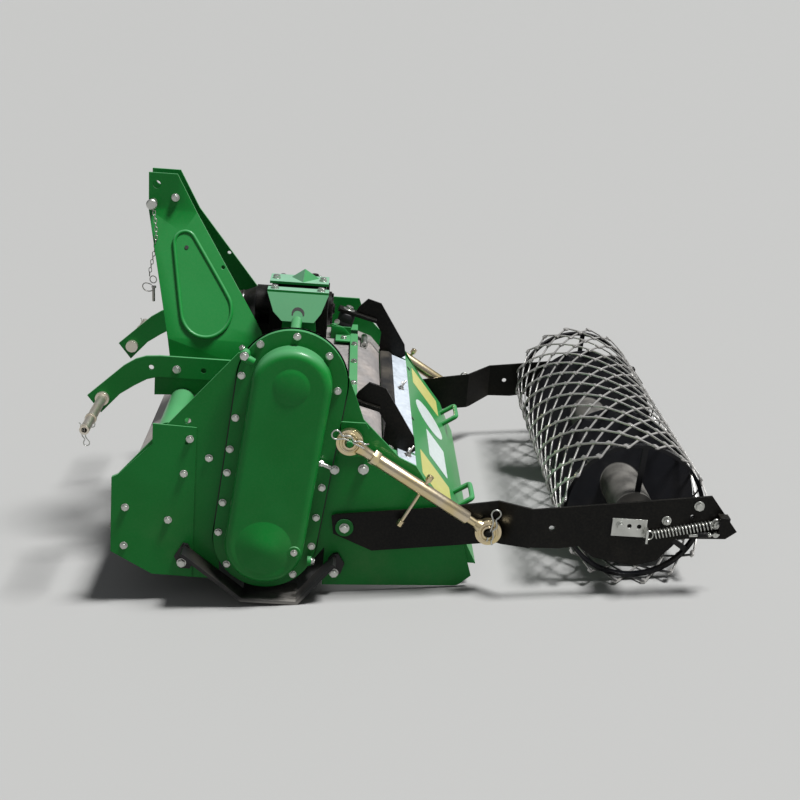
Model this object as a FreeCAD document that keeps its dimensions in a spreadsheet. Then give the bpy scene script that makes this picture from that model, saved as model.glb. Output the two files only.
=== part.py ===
import FreeCAD, Part
import math
import os
import Sketcher
from FreeCAD import Placement, Rotation, Vector

# Sizes are in millimetres and degrees, in the machine's own level frame:
# x to the rear, y to its right side, z up, z = 0 at the roller's lowest line.
# Parking then pitches the whole machine onto its skids and roller.
TABLE = {
    "sideInner": 600,
    "sideThick": 8,
    "sideBottom": -76,
    "sideTop": 640,
    "farTop": 490,
    "sideRear": 578,
    "frontReach": -470,
    "panelThick": 5,
    "rotorX": -27,
    "rotorZ": 64,
    "rotorTip": 163,
    "rotorTubeRadius": 45,
    "rotorFlangeRadius": 92,
    "shaftX": 27,
    "shaftZ": 538,
    "caseTopRadius": 154,
    "caseFootRadius": 148,
    "caseFlange": 20,
    "coverTopRadius": 112,
    "coverFootRadius": 113,
    "coverDepth": 58,
    "coverRound": 24,
    "mainTubeX": -312,
    "mainTubeZ": 355,
    "mainTubeRadius": 38,
    "beamX": 190,
    "beamTop": 392,
    "hoodThick": 4,
    "hoodTop": 376,
    "mastTop": 1001,
    "mastBend": 886,
    "mastFoot": 453,
    "mastFootBend": 525,
    "mastHalf": 37,
    "mastFootHalf": 198,
    "mastThick": 8,
    "topPinX": -446,
    "topPinZ": 910,
    "topPinRadius": 12.5,
    "linkHalf": 284,
    "linkThick": 10,
    "lowerPinX": -552,
    "lowerPinZ": 350,
    "lowerPinRadius": 14,
    "lowerPinReach": 590,
    "runningGap": 0.05,
    "gearboxHalf": 112,
    "tieX": 19,
    "tieZ": 616,
    "tieRadius": 16,
    "flangeTop": 700,
    "stayZ": 446,
    "inputZ": 600,
    "inputRadius": 17.5,
    "bufferHeight": 64,
    "skidBottom": -110,
    "skidThick": 10,
    "skidWidth": 70,
    "skidRear": 77,
    "skidInset": 55,
    "hingeX": 316,
    "hingeZ": 318,
    "tailArmHalf": 491,
    "tailArmThick": 10,
    "tailHalf": 588,
    "tailThick": 4,
    "armPivotX": 199,
    "armPivotZ": 116,
    "armThick": 8,
    "armGap": 8,
    "armStep": 84,
    "rollerX": 1031,
    "rollerZ": 213,
    "rollerRadius": 216,
    "rollerHalf": 611,
    "rollerTubeRadius": 60,
    "rollerTubeWall": 6,
    "bushLength": 30,
    "hoopWidth": 20,
    "hoopDepth": 10,
    "spokeWidth": 16,
    "spokeThick": 8,
    "plateTilt": 30.7,
    "plateTurn": 118,
    "plateNearY": -403,
    "plateFarY": 238,
    "plateThick": 5,
    "seatGap": 0.3,
    "axleRadius": 22,
    "upperEyeX": 197,
    "upperEyeZ": 387,
    "lowerEyeX": 610,
    "lowerEyeZ": 141,
    "eyeRadius": 38,
    "eyeThick": 20,
    "eyePinRadius": 9.5,
    "barrelRadius": 16.5,
    "barrelLength": 310,
    "rodLength": 155,
    "eyeDrift": 1.05,
    "springRadius": 14,
    "strandCount": 16,
    "strandTurn": 247.5,
    "strandStart": 13.5,
    "strandSteps": 22,
    "strandDepth": 4,
    "strandWidth": 7.5,
    "strandGap": 0.4,
    "strandOverhang": 30,
}

doc = FreeCAD.newDocument("ReverseTiller")
sheet = doc.addObject("Spreadsheet::Sheet", "Sizes")
for row, (alias, number) in enumerate(TABLE.items(), start=1):
    sheet.set(f"A{row}", alias)
    sheet.set(f"B{row}", str(number))
    sheet.setAlias(f"B{row}", alias)
doc.recompute()


class Size:
    """A number that also knows how the spreadsheet works it out."""

    def __init__(self, value, text):
        self.value = value
        self.text = text

    def joined(self, other, sign, value, swap=False):
        mine, theirs = self.text, text_of(other)
        return Size(value, f"({theirs} {sign} {mine})" if swap else f"({mine} {sign} {theirs})")

    def __add__(self, other):
        return self.joined(other, "+", self.value + number_of(other))

    def __radd__(self, other):
        return self.joined(other, "+", number_of(other) + self.value, True)

    def __sub__(self, other):
        return self.joined(other, "-", self.value - number_of(other))

    def __rsub__(self, other):
        return self.joined(other, "-", number_of(other) - self.value, True)

    def __mul__(self, other):
        return self.joined(other, "*", self.value * number_of(other))

    def __rmul__(self, other):
        return self.joined(other, "*", number_of(other) * self.value, True)

    def __truediv__(self, other):
        return self.joined(other, "/", self.value / number_of(other))

    def __neg__(self):
        return Size(-self.value, f"(0 - {self.text})")


def number_of(item):
    return item.value if isinstance(item, Size) else float(item)


def text_of(item):
    if isinstance(item, Size):
        return item.text
    return str(item) if item >= 0 else f"(0 - {-item})"


class Sizes:
    """Every spreadsheet value as a Size, by its alias."""

    def __getattr__(self, alias):
        return Size(float(TABLE[alias]), f"Sizes.{alias}")


s = Sizes()


def root(item):
    return Size(math.sqrt(item.value), f"sqrt({item.text})")


def degrees(item):
    return f"({item}) / 1 deg"


def arc_tangent(rise, run):
    value = math.degrees(math.atan(number_of(rise) / number_of(run)))
    return Size(value, degrees(f"atan({text_of(rise)} / {text_of(run)})"))


def arc_sine(side, slope):
    value = math.degrees(math.asin(number_of(side) / number_of(slope)))
    return Size(value, degrees(f"asin({text_of(side)} / {text_of(slope)})"))


def sine(angle):
    return Size(math.sin(math.radians(angle.value)), f"sin({angle.text})")


def cosine(angle):
    return Size(math.cos(math.radians(angle.value)), f"cos({angle.text})")


def bind(item, prop, value):
    item.setExpression(prop, text_of(value))


def place(item, x=0, y=0, z=0):
    for axis, value in zip("xyz", (x, y, z)):
        item.setExpression(f"Placement.Base.{axis}", text_of(value))


PLANES = {
    "xz": (Rotation(Vector(1, 0, 0), 90), Vector(0, 1, 0)),
    "xy": (Rotation(), Vector(0, 0, 1)),
    "yz": (Rotation(Vector(1, 1, 1), 120), Vector(1, 0, 0)),
}


def pin_point(sketch, geometry, end, u, v):
    for kind, value in (("DistanceX", u), ("DistanceY", v)):
        index = sketch.addConstraint(
            Sketcher.Constraint(kind, -1, 1, geometry, end, number_of(value)))
        if isinstance(value, Size):
            sketch.setExpression(f"Constraints[{index}]", value.text)


def set_radius(sketch, geometry, value):
    index = sketch.addConstraint(Sketcher.Constraint("Radius", geometry, number_of(value)))
    if isinstance(value, Size):
        sketch.setExpression(f"Constraints[{index}]", value.text)


def start_sketch(name, plane):
    sketch = doc.addObject("Sketcher::SketchObject", name + "Sketch")
    sketch.Placement = Placement(Vector(), PLANES[plane][0])
    return sketch


def add_holes(sketch, holes):
    for u, v, radius in holes:
        centre = Vector(number_of(u), number_of(v), 0)
        geometry = sketch.addGeometry(Part.Circle(centre, Vector(0, 0, 1), number_of(radius)), False)
        pin_point(sketch, geometry, 3, u, v)
        set_radius(sketch, geometry, radius)


def polygon(name, plane, points, rounds=None, holes=()):
    """Closed outline; rounds maps a corner's index to its radius."""
    sketch = start_sketch(name, plane)
    flat = [Vector(number_of(u), number_of(v), 0) for u, v in points]
    count = len(flat)
    for i in range(count):
        sketch.addGeometry(Part.LineSegment(flat[i], flat[(i + 1) % count]), False)
    for i in range(count):
        sketch.addConstraint(Sketcher.Constraint("Coincident", i, 2, (i + 1) % count, 1))
    for i, (u, v) in enumerate(points):
        pin_point(sketch, i, 1, u, v)
    for corner, radius in (rounds or {}).items():
        before = (corner - 1) % count
        toward = (flat[before] - flat[corner]).normalize() * number_of(radius)
        onward = (flat[(corner + 1) % count] - flat[corner]).normalize() * number_of(radius)
        sketch.fillet(before, corner, flat[corner] + toward, flat[corner] + onward,
                      number_of(radius), True, True)
        arcs = [i for i, item in enumerate(sketch.Geometry) if isinstance(item, Part.ArcOfCircle)]
        set_radius(sketch, arcs[-1], radius)
    add_holes(sketch, holes)
    return sketch


def disc(name, plane, circles):
    sketch = start_sketch(name, plane)
    add_holes(sketch, circles)
    return sketch


def stadium(name, plane, first, second, holes=()):
    """Outline around two circles (u, v, radius) with straight flanks."""
    sketch = start_sketch(name, plane)
    (u1, v1, r1), (u2, v2, r2) = [[number_of(item) for item in circle] for circle in (first, second)]
    gap = math.hypot(u2 - u1, v2 - v1)
    heading = math.atan2(v2 - v1, u2 - u1)
    spread = math.acos((r1 - r2) / gap)
    rim = {}
    for side in (1, -1):
        angle = heading + side * spread
        for label, (u, v, r) in (("a", (u1, v1, r1)), ("b", (u2, v2, r2))):
            rim[label, side] = Vector(u + r * math.cos(angle), v + r * math.sin(angle), 0)
    circle_a = Part.Circle(Vector(u1, v1, 0), Vector(0, 0, 1), r1)
    circle_b = Part.Circle(Vector(u2, v2, 0), Vector(0, 0, 1), r2)
    arc_a = sketch.addGeometry(
        Part.ArcOfCircle(circle_a, heading + spread, heading - spread + 2 * math.pi), False)
    arc_b = sketch.addGeometry(Part.ArcOfCircle(circle_b, heading - spread, heading + spread), False)
    low = sketch.addGeometry(Part.LineSegment(rim["a", -1], rim["b", -1]), False)
    high = sketch.addGeometry(Part.LineSegment(rim["b", 1], rim["a", 1]), False)
    for link in ((arc_a, 2, low, 1), (low, 2, arc_b, 1), (arc_b, 2, high, 1), (high, 2, arc_a, 1)):
        sketch.addConstraint(Sketcher.Constraint("Tangent", *link))
    for arc, (u, v, r) in ((arc_a, first), (arc_b, second)):
        pin_point(sketch, arc, 3, u, v)
        set_radius(sketch, arc, r)
    add_holes(sketch, holes)
    return sketch


def extrude(name, sketch, plane, start, end):
    """Solid between two offsets along the plane's normal axis."""
    solid = doc.addObject("Part::Extrusion", name)
    solid.Base = sketch
    solid.DirMode = "Custom"
    solid.Dir = PLANES[plane][1]
    solid.Solid = True
    low, high = (start, end) if number_of(start) < number_of(end) else (end, start)
    bind(solid, "LengthFwd", high - low)
    axis = {"xz": "y", "xy": "z", "yz": "x"}[plane]
    place(sketch, **{axis: low})
    return solid


def plate(name, plane, points, start, end, rounds=None, holes=()):
    return extrude(name, polygon(name, plane, points, rounds, holes), plane, start, end)


def block(name, x0, x1, y0, y1, z0, z1):
    return plate(name, "xz", [(x0, z0), (x1, z0), (x1, z1), (x0, z1)], y0, y1)


def rod(name, plane, u, v, radius, start, end, bore=None):
    circles = [(u, v, radius)] + ([(u, v, bore)] if bore is not None else [])
    return extrude(name, disc(name, plane, circles), plane, start, end)


def fuse(name, parts):
    whole = doc.addObject("Part::MultiFuse", name)
    whole.Shapes = parts
    return whole


def cut(name, base, tool):
    whole = doc.addObject("Part::Cut", name)
    whole.Base = base
    whole.Tool = tool
    return whole


def common(name, first, second):
    whole = doc.addObject("Part::MultiCommon", name)
    whole.Shapes = [first, second]
    return whole


def mirrored(name, source):
    twin = doc.addObject("Part::Mirroring", name)
    twin.Source = source
    twin.Normal = Vector(0, 1, 0)
    return twin


# The floor line runs from the skid's rear corner to the roller.
floor_run = s.rollerX - s.skidRear
floor_rise = s.rollerZ - s.skidBottom
floor_slope = root(floor_run * floor_run + floor_rise * floor_rise)
pitch = arc_tangent(floor_rise, floor_run) - arc_sine(s.rollerRadius, floor_slope)
lift = s.rollerRadius - s.rollerZ * cosine(pitch) + s.rollerX * sine(pitch)
ARM_END_X = s.rollerX + 278
ARM_END_Z = s.rollerZ - 3
nose = s.lowerPinX - 46
rear_end = ARM_END_X * cosine(pitch) + ARM_END_Z * sine(pitch)
front_end = nose * cosine(pitch) + (s.lowerPinZ + 5) * sine(pitch)
shift = -(rear_end + front_end) / 2

sheet_row = len(TABLE) + 1
for alias, item in (("parkPitch", pitch), ("parkShift", shift), ("parkLift", lift)):
    sheet.set(f"A{sheet_row}", alias)
    sheet.set(f"B{sheet_row}", "=" + item.text.replace("Sizes.", ""))
    sheet.setAlias(f"B{sheet_row}", alias)
    TABLE[alias] = item.value
    sheet_row += 1
doc.recompute()

NODES = {}


def node(name, item):
    """Keeps a finished sub-part and parks it."""
    item.Label = name
    item.Placement = Placement(Vector(TABLE["parkShift"], 0, TABLE["parkLift"]),
                               Rotation(Vector(0, 1, 0), TABLE["parkPitch"]))
    item.setExpression("Placement.Base.x", "Sizes.parkShift")
    item.setExpression("Placement.Base.z", "Sizes.parkLift")
    item.setExpression("Placement.Rotation.Angle", "Sizes.parkPitch")
    NODES[name] = item


def pair(name, left):
    """The left piece and its mirror image on the right."""
    node(name + "Left", left)
    twin = doc.addObject("Part::Mirroring", name + "Right")
    twin.Source = left
    twin.Normal = Vector(0, 1, 0)
    twin.Label = name + "Right"
    NODES[name + "Right"] = twin


side_outer = s.sideInner + s.sideThick
panel_outer = side_outer + s.panelThick

# Side plates with the notch that lets the rotor in from below; the left one
# rises behind the drive case, the right one stops lower.
side_front = [
    (s.rotorX - 130, s.rotorZ), (s.rotorX - 130, s.sideBottom), (-235, s.sideBottom),
    (-350, s.sideBottom + 4), (s.frontReach, s.sideBottom + 69), (s.frontReach, 222),
    (s.frontReach + 17, 231),
]
side_rear = [
    (233, 440), (342, 333), (391, 311), (s.sideRear - 34, 86), (s.sideRear, -20),
    (s.sideRear - 38, s.sideBottom + 22), (s.rotorX + 172, s.sideBottom), (s.rotorX + 172, s.rotorZ - 21),
    (s.rotorX + 130, s.rotorZ - 78), (s.rotorX + 130, s.rotorZ), (s.rotorX, s.rotorZ + 130),
]
TOPS = {
    "Left": [(-127, 611), (-60, s.sideTop), (110, s.sideTop), (185, 560)],
    "Right": [(s.farTop - 721, s.farTop), (215, s.farTop)],
}
shells = {}
for side, top in TOPS.items():
    corner = len(side_front) + len(top) + 5
    shells[side] = plate(f"sideShell{side}", "xz", side_front + top + side_rear, -side_outer, -s.sideInner,
                         rounds={corner: 30}, holes=[(-260, 404, 9), (-390, 265, 5)])
arm_in = side_outer + s.armGap
arm_out = arm_in + s.armThick
boss = rod("armBoss", "xz", s.armPivotX, s.armPivotZ, 26, -arm_in + s.runningGap, -side_outer)
pivot_pin = rod("pivotPin", "xz", s.armPivotX, s.armPivotZ, 12, -(arm_out + 4), -side_outer)
pivot_washer = rod("pivotWasher", "xz", s.armPivotX, s.armPivotZ, 26, -(arm_out + 5), -arm_out - s.runningGap)
pad = plate("eyePad", "xz", [(170, 330), (250, 330), (250, 415), (240, 432), (170, 432)],
            -(side_outer + 6), -side_outer)
eye_y = side_outer + 41
eye_pin = rod("eyePin", "xz", s.upperEyeX, s.upperEyeZ, s.eyePinRadius, -(eye_y + 20), -side_outer)
eye_collar = rod("eyeCollar", "xz", s.upperEyeX, s.upperEyeZ, 15, -eye_y + s.eyeThick / 2 + s.runningGap,
                 -side_outer)
side_trim = [boss, pivot_pin, pivot_washer, pad, eye_pin, eye_collar]
node("sidePlateLeft", fuse("sideSetLeft", [shells["Left"], *side_trim]))
node("sidePlateRight", mirrored("sidePlateRight", fuse("sideSetRight", [shells["Right"], *side_trim])))

front_panel = plate("frontSheet", "xz", [
    (-357, 391), (-234, 387), (-234, s.sideBottom + 3), (-350, s.sideBottom + 5),
    (s.frontReach, s.sideBottom + 69), (s.frontReach, 222), (s.frontReach + 17, 231), (-357, 330),
], -panel_outer, -side_outer, holes=[(-260, 340, 5)])
pair("frontPanel", front_panel)

# Rotor drive on the left side
shaft_top = (s.shaftX, s.shaftZ, s.caseTopRadius)
case_foot = (s.rotorX, s.rotorZ, s.caseFootRadius)
case_outer = side_outer + s.caseFlange
flange = extrude("caseFlange", stadium("caseOutline", "xz", shaft_top, case_foot),
                 "xz", -case_outer, -side_outer)
case_hub = rod("caseHub", "xz", s.rotorX, s.rotorZ, 62, -side_outer, -s.sideInner + 12, 25 + s.runningGap)
node("driveCase", fuse("driveCaseSet", [flange, case_hub]))

cover_body = doc.addObject("PartDesign::Body", "CoverBody")
cover_sketch = stadium("coverOutline", "xz", (s.shaftX, s.shaftZ, s.coverTopRadius),
                       (s.rotorX, s.rotorZ, s.coverFootRadius))
cover_body.addObject(cover_sketch)
place(cover_sketch, y=-case_outer)
cover_pad = cover_body.newObject("PartDesign::Pad", "CoverPad")
cover_pad.Profile = cover_sketch
bind(cover_pad, "Length", s.coverDepth)
doc.recompute()
front_face = max(range(len(cover_pad.Shape.Faces)),
                 key=lambda i: -cover_pad.Shape.Faces[i].CenterOfMass.y)
cover_round = cover_body.newObject("PartDesign::Fillet", "CoverRound")
cover_round.Base = (cover_pad, [f"Face{front_face + 1}"])
bind(cover_round, "Radius", s.coverRound)
cover_face = case_outer + s.coverDepth


def cone(name, x, z, wide, narrow, start, end):
    """Cone along -y from y = -start to y = -end."""
    item = doc.addObject("Part::Cone", name)
    item.Placement = Placement(Vector(), Rotation(Vector(1, 0, 0), 90))
    bind(item, "Radius1", wide)
    bind(item, "Radius2", narrow)
    bind(item, "Height", end - start)
    place(item, x, -start, z)
    return item


foot_dome = cone("footDome", s.rotorX, s.rotorZ, 80, 16, cover_face, cover_face + 15)
top_dome = cone("topDome", s.shaftX, s.shaftZ + 8, 52, 38, cover_face, cover_face + 4)
node("caseCover", fuse("coverSet", [cover_body, foot_dome, top_dome]))

# Bearing housing of the rotor on the right side
hub_plate = plate("hubPlate", "xz", [
    (s.rotorX - 210, s.sideBottom + 12), (s.rotorX + 204, s.sideBottom + 12), (s.rotorX + 204, s.rotorZ + 90),
    (s.rotorX + 80, s.rotorZ + 170), (s.rotorX - 80, s.rotorZ + 170), (s.rotorX - 210, s.rotorZ + 90),
], s.sideInner - 12, s.sideInner, holes=[(s.rotorX, s.rotorZ, 25 + s.runningGap)])
hub_cap = rod("hubCap", "xz", s.rotorX, s.rotorZ, 62, s.sideInner, side_outer + 34)
node("rotorHub", fuse("hubSet", [hub_plate, hub_cap]))

# Cross members
node("mainTube", rod("tubeBody", "xz", s.mainTubeX, s.mainTubeZ, s.mainTubeRadius,
                     -s.sideInner, s.sideInner, s.mainTubeRadius - 6))
beam = plate("beamBody", "xz", [
    (s.beamX, s.hoodTop), (s.beamX + 6, s.hoodTop), (s.beamX + 6, s.beamTop - 6),
    (s.beamX + 26, s.beamTop - 6), (s.beamX + 26, s.beamTop), (s.beamX, s.beamTop),
], -s.sideInner, s.sideInner)
node("rearBeam", beam)


def bent_sheet(name, plane, line, thick, start, end):
    """Sheet of even thickness that follows a bent line."""
    outer = [(u, v) for u, v, _ in line]
    inner = [(u + thick * du, v + thick * dv) for (u, v, (du, dv)) in reversed(line)]
    return plate(name, plane, outer + inner, start, end)


hood_line = [
    (-474, 62, (-1, 0.3)), (-402, 268, (-0.8, 0.7)), (-362, 296, (-0.4, 0.95)),
    (-260, 300, (-0.25, 0.97)), (-200, s.hoodTop - s.hoodThick - 3, (-0.4, 0.95)),
    (-180, s.hoodTop - s.hoodThick, (0, 1)),
    (s.beamX + 8, s.hoodTop - s.hoodThick, (0.15, 1)), (262, 350, (0.55, 0.85)),
    (s.hingeX - 22, s.hingeZ - 2, (0.7, 0.7)),
]
hood_parts = [bent_sheet("hoodSheet", "xz", hood_line, s.hoodThick, -s.sideInner, s.sideInner)]
KNUCKLES = ((-580, -550), (-190, -150), (150, 190), (550, 580))
for k, (start, end) in enumerate(KNUCKLES):
    hood_parts.append(rod(f"knuckle{k}", "xz", s.hingeX, s.hingeZ, 13, start, end, 9 + s.runningGap))
    hood_parts.append(plate(f"knuckleWeb{k}", "xz", [
        (s.hingeX - 24, s.hingeZ - 3), (s.hingeX - 10, s.hingeZ - 4), (s.hingeX - 10, s.hingeZ + 4),
        (s.hingeX - 20, s.hingeZ + 2)], start, end))
node("hood", fuse("hoodSet", hood_parts))

# Headstock: two bent plates cut to the side silhouette
strip = polygon("mastBendLine", "yz", [
    (-s.mastHalf, s.mastTop), (-s.mastHalf, s.mastBend), (-s.mastFootHalf, s.mastFootBend),
    (-s.mastFootHalf, s.mastFoot), (-s.mastFootHalf - s.mastThick, s.mastFoot),
    (-s.mastFootHalf - s.mastThick, s.mastFootBend + 1.5),
    (-s.mastHalf - s.mastThick, s.mastBend + 1.5), (-s.mastHalf - s.mastThick, s.mastTop),
])
strip_solid = extrude("mastStrip", strip, "yz", -520, 20)
silhouette = plate("mastSilhouette", "xz", [
    (s.topPinX - 16, s.mastTop), (s.topPinX + 71, s.mastTop), (-312, s.mastBend), (-88, 560),
    (-80, s.mastFootBend), (-150, s.mastFoot), (-362, s.mastFoot), (-372, s.mastFootBend),
    (s.topPinX - 14, s.mastBend),
], -260, 0, holes=[(s.topPinX, s.topPinZ, s.topPinRadius), (s.topPinX + 9, s.topPinZ + 55, 12.5),
                   (-220, 735.6, 6), (s.topPinX + 67, s.topPinZ + 19, 7)])
mast_plate = common("mastPlate", strip_solid, silhouette)
emboss_outline = stadium("embossOutline", "xz", (-341, 799, 36), (-261, 612, 80))
emboss_bar = extrude("embossBar", emboss_outline, "xz", -260, 0)
emboss_layer = polygon("embossLayer", "yz", [
    (-s.mastHalf - s.mastThick, s.mastBend + 1.5), (-s.mastHalf - s.mastThick - 5, s.mastBend + 1.5),
    (-s.mastFootHalf - s.mastThick - 5, s.mastFootBend + 1.5), (-s.mastFootHalf - s.mastThick, s.mastFootBend + 1.5),
])
emboss_slab = extrude("embossSlab", emboss_layer, "yz", -520, 20)
emboss = common("emboss", emboss_bar, emboss_slab)
pair("mastPlate", fuse("mastSet", [mast_plate, emboss]))

pin = rod("pinBar", "xz", s.topPinX, s.topPinZ, s.topPinRadius, -72, 66)
pin_head = rod("pinHead", "xz", s.topPinX, s.topPinZ, 15, -84, -72)
node("topPin", fuse("topPinSet", [pin, pin_head]))
node("mastSpacer", fuse("spacerSet", [
    rod("spacerBar", "xz", s.topPinX + 67, s.topPinZ + 19, 7, -62, 62),
    rod("spacerTube", "xz", s.topPinX + 67, s.topPinZ + 19, 14, -s.mastHalf, s.mastHalf, 6)]))

# Lower hitch arms with their saddle on the main tube
arm_plate = plate("linkPlate", "xz", [
    (s.lowerPinX - 46, s.lowerPinZ + 5), (s.lowerPinX - 4, s.lowerPinZ - 47), (-500, 366), (-457, 396),
    (-420, 418), (-385, 428), (-150, 428), (-150, 493), (-380, 493.5), (-424, 490), (-455, 479), (-490, 456),
], -(s.linkHalf + s.linkThick), -s.linkHalf, holes=[(-408, 456, 8), (-251, 456, 8)])
saddle = plate("saddlePlate", "xz", [
    (-398, 470), (-398, s.mainTubeZ + 13), (-232, s.mainTubeZ + 23), (-150, 436), (-150, 470),
], -s.linkHalf, -(s.mastFootHalf + s.mastThick))
saddle_bore = rod("saddleBore", "xz", s.mainTubeX, s.mainTubeZ, s.mainTubeRadius, -300, -200)
pair("linkArm", cut("linkSaddled", fuse("linkSet", [arm_plate, saddle]), saddle_bore))

lower_pin = fuse("lowerPinSet", [
    rod("lowerBar", "xz", s.lowerPinX, s.lowerPinZ, s.lowerPinRadius,
        -s.lowerPinReach, -(s.linkHalf + s.linkThick), 8),
    rod("lowerCollar", "xz", s.lowerPinX, s.lowerPinZ, 21, -(s.linkHalf + s.linkThick + 12),
        -(s.linkHalf + s.linkThick), 8),
    rod("lowerRing", "xz", s.lowerPinX, s.lowerPinZ, 17, -492, -484, 8),
    rod("lowerNut", "xz", s.lowerPinX, s.lowerPinZ, 20, -s.linkHalf, -(s.linkHalf - 16))])
pair("lowerPin", lower_pin)

# Gearbox, its carrier brackets and the drive shaft housing
deck = s.flangeTop - 32
casting = block("gearCasting", -72, 100, -s.gearboxHalf, s.gearboxHalf, 500, deck)
head = block("gearHead", -66, 100, -s.gearboxHalf, -30, deck, s.flangeTop)
shoulder = block("gearShoulder", -66, 100, -200, -s.gearboxHalf, 642, s.flangeTop - 8)
lid = block("gearLid", -52, 84, -22, 88, deck, deck + 10)
nose = block("gearNose", -112, -72, -s.gearboxHalf + 12, s.gearboxHalf - 12, 440, 560)
snout = rod("inputSnout", "yz", 0, s.inputZ, 62, -118, -72)
rear_cap = rod("rearCap", "yz", 0, s.inputZ, 54, 100, 118)
foot_web = block("gearFoot", -60, 88, -s.gearboxHalf + 12, s.gearboxHalf - 12, s.hoodTop, 500)
node("gearbox", fuse("gearSet", [casting, head, shoulder, lid, nose, snout, rear_cap, foot_web]))

web = plate("bracketWeb", "xz", [
    (-76, s.flangeTop - 8), (110, s.flangeTop - 8), (90, 636), (68, 603), (-28, 603), (-56, 630)], -206, -200)
web_flange = block("bracketFlange", -76, 110, -206, -164, s.flangeTop - 8, s.flangeTop)
leg = plate("bracketLeg", "xz", [(-40, s.hoodTop), (94, s.hoodTop), (74, 606), (-26, 606)], -206, -200,
            holes=[(s.shaftX, s.shaftZ, 40)])
far_flange = block("farFlange", -74, 107, -s.gearboxHalf - 14, -28, s.flangeTop, s.flangeTop + 8)
peak_base = polygon("peakBase", "xy", [(-10, -58), (28, -122), (76, -58)])
place(peak_base, z=s.flangeTop + 8)
peak_tip = polygon("peakTip", "xy", [(30, -84), (31, -86), (32, -84)])
place(peak_tip, z=s.flangeTop + 42)
peak = doc.addObject("Part::Loft", "bracketPeak")
peak.Sections = [peak_base, peak_tip]
peak.Solid = True
peak.Ruled = True
# The tie tube passes under an arch that is taller than the tube.
tie_bore = fuse("tieBores", [rod("tieBore", "xz", s.tieX, s.tieZ, s.tieRadius, -210, -196),
                             rod("tieArch", "xz", s.tieX, s.tieZ + 12, 20, -210, -196)])
node("gearBracket", cut("bracketCut", fuse(
    "bracketSet", [web, leg, web_flange, far_flange, peak]), tie_bore))

housing = rod("housingTube", "xz", s.shaftX, s.shaftZ, 40, -s.sideInner, -s.gearboxHalf)
tie = rod("tieTube", "xz", s.tieX, s.tieZ, s.tieRadius, -s.sideInner, -s.gearboxHalf)
tie_far = rod("stayTube", "xz", 27, s.stayZ, 22, s.gearboxHalf - 12, s.sideInner)
node("driveHousing", fuse("housingSet", [housing, tie, tie_far]))

guard = fuse("guardSet", [
    rod("guardRing", "yz", 0, s.inputZ, 72, -240, -118, 66),
    rod("guardBase", "yz", 0, s.inputZ, 72, -128, -118, 24 + s.runningGap)])
node("shaftGuard", guard)

# Skids under the rotor ends
skid_inner = panel_outer
skid_line = plate("skidStrip", "xz", [
    (s.skidRear - 164, s.skidBottom), (s.skidRear, s.skidBottom), (s.skidRear + 104, s.skidBottom + 128),
    (s.skidRear + 96, s.skidBottom + 134), (s.skidRear - 5, s.skidBottom + s.skidThick),
    (s.skidRear - 160, s.skidBottom + s.skidThick), (s.skidRear - 335, s.skidBottom + 140),
    (s.skidRear - 341, s.skidBottom + 132),
], -(skid_inner + s.skidWidth), -skid_inner)
skid_base = block("skidBase", s.skidRear - 160, s.skidRear - 4, -skid_inner, -skid_inner + s.skidInset,
                  s.skidBottom, s.skidBottom + s.skidThick)
skid_front = plate("skidFrontEar", "xz", [(-286, -8), (-270, -44), (-240, -44), (-224, -12), (-248, 32), (-262, 34)],
                   -(skid_inner + 8), -skid_inner)
skid_rear = plate("skidRearEar", "xz", [(158, 10), (158, -30), (196, -34), (206, -2), (186, 30), (170, 26)],
                  -(skid_inner + 8), -side_outer)
pair("skid", fuse("skidSet", [skid_line, skid_base, skid_front, skid_rear]))

# Rubber buffers under the tailboard's levers
BUFFER_TILT = 15
lean = (math.sin(math.radians(BUFFER_TILT)), math.cos(math.radians(BUFFER_TILT)))
bracket = fuse("bufferBracket", [
    plate("bufferShelf", "xz", [(128, 409), (s.beamX, 392.4), (s.beamX, 386), (126.4, 403)], -540, -450),
    plate("bufferCheek", "xz", [(120, s.hoodTop), (s.beamX, s.hoodTop), (s.beamX, s.hoodTop + 44),
                                (160, s.hoodTop + 44), (120, s.hoodTop + 54)], -456, -450)])
pair("bufferBracket", bracket)
rod_stub = doc.addObject("Part::Cylinder", "bufferCollar")
rod_stub.Radius = 27.8
rod_stub.Height = 6
rod_stub.Placement = Placement(Vector(), Rotation(Vector(0, 1, 0), BUFFER_TILT))
place(rod_stub, 160, -s.tailArmHalf, 400.5)
rubber = doc.addObject("Part::Cylinder", "bufferRubber")
rubber.Radius = 27
bind(rubber, "Height", s.bufferHeight)
rubber.Placement = Placement(Vector(), Rotation(Vector(0, 1, 0), BUFFER_TILT))
place(rubber, 160, -s.tailArmHalf, 400.5)
pair("buffer", fuse("bufferSet", [rubber, rod_stub]))

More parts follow.
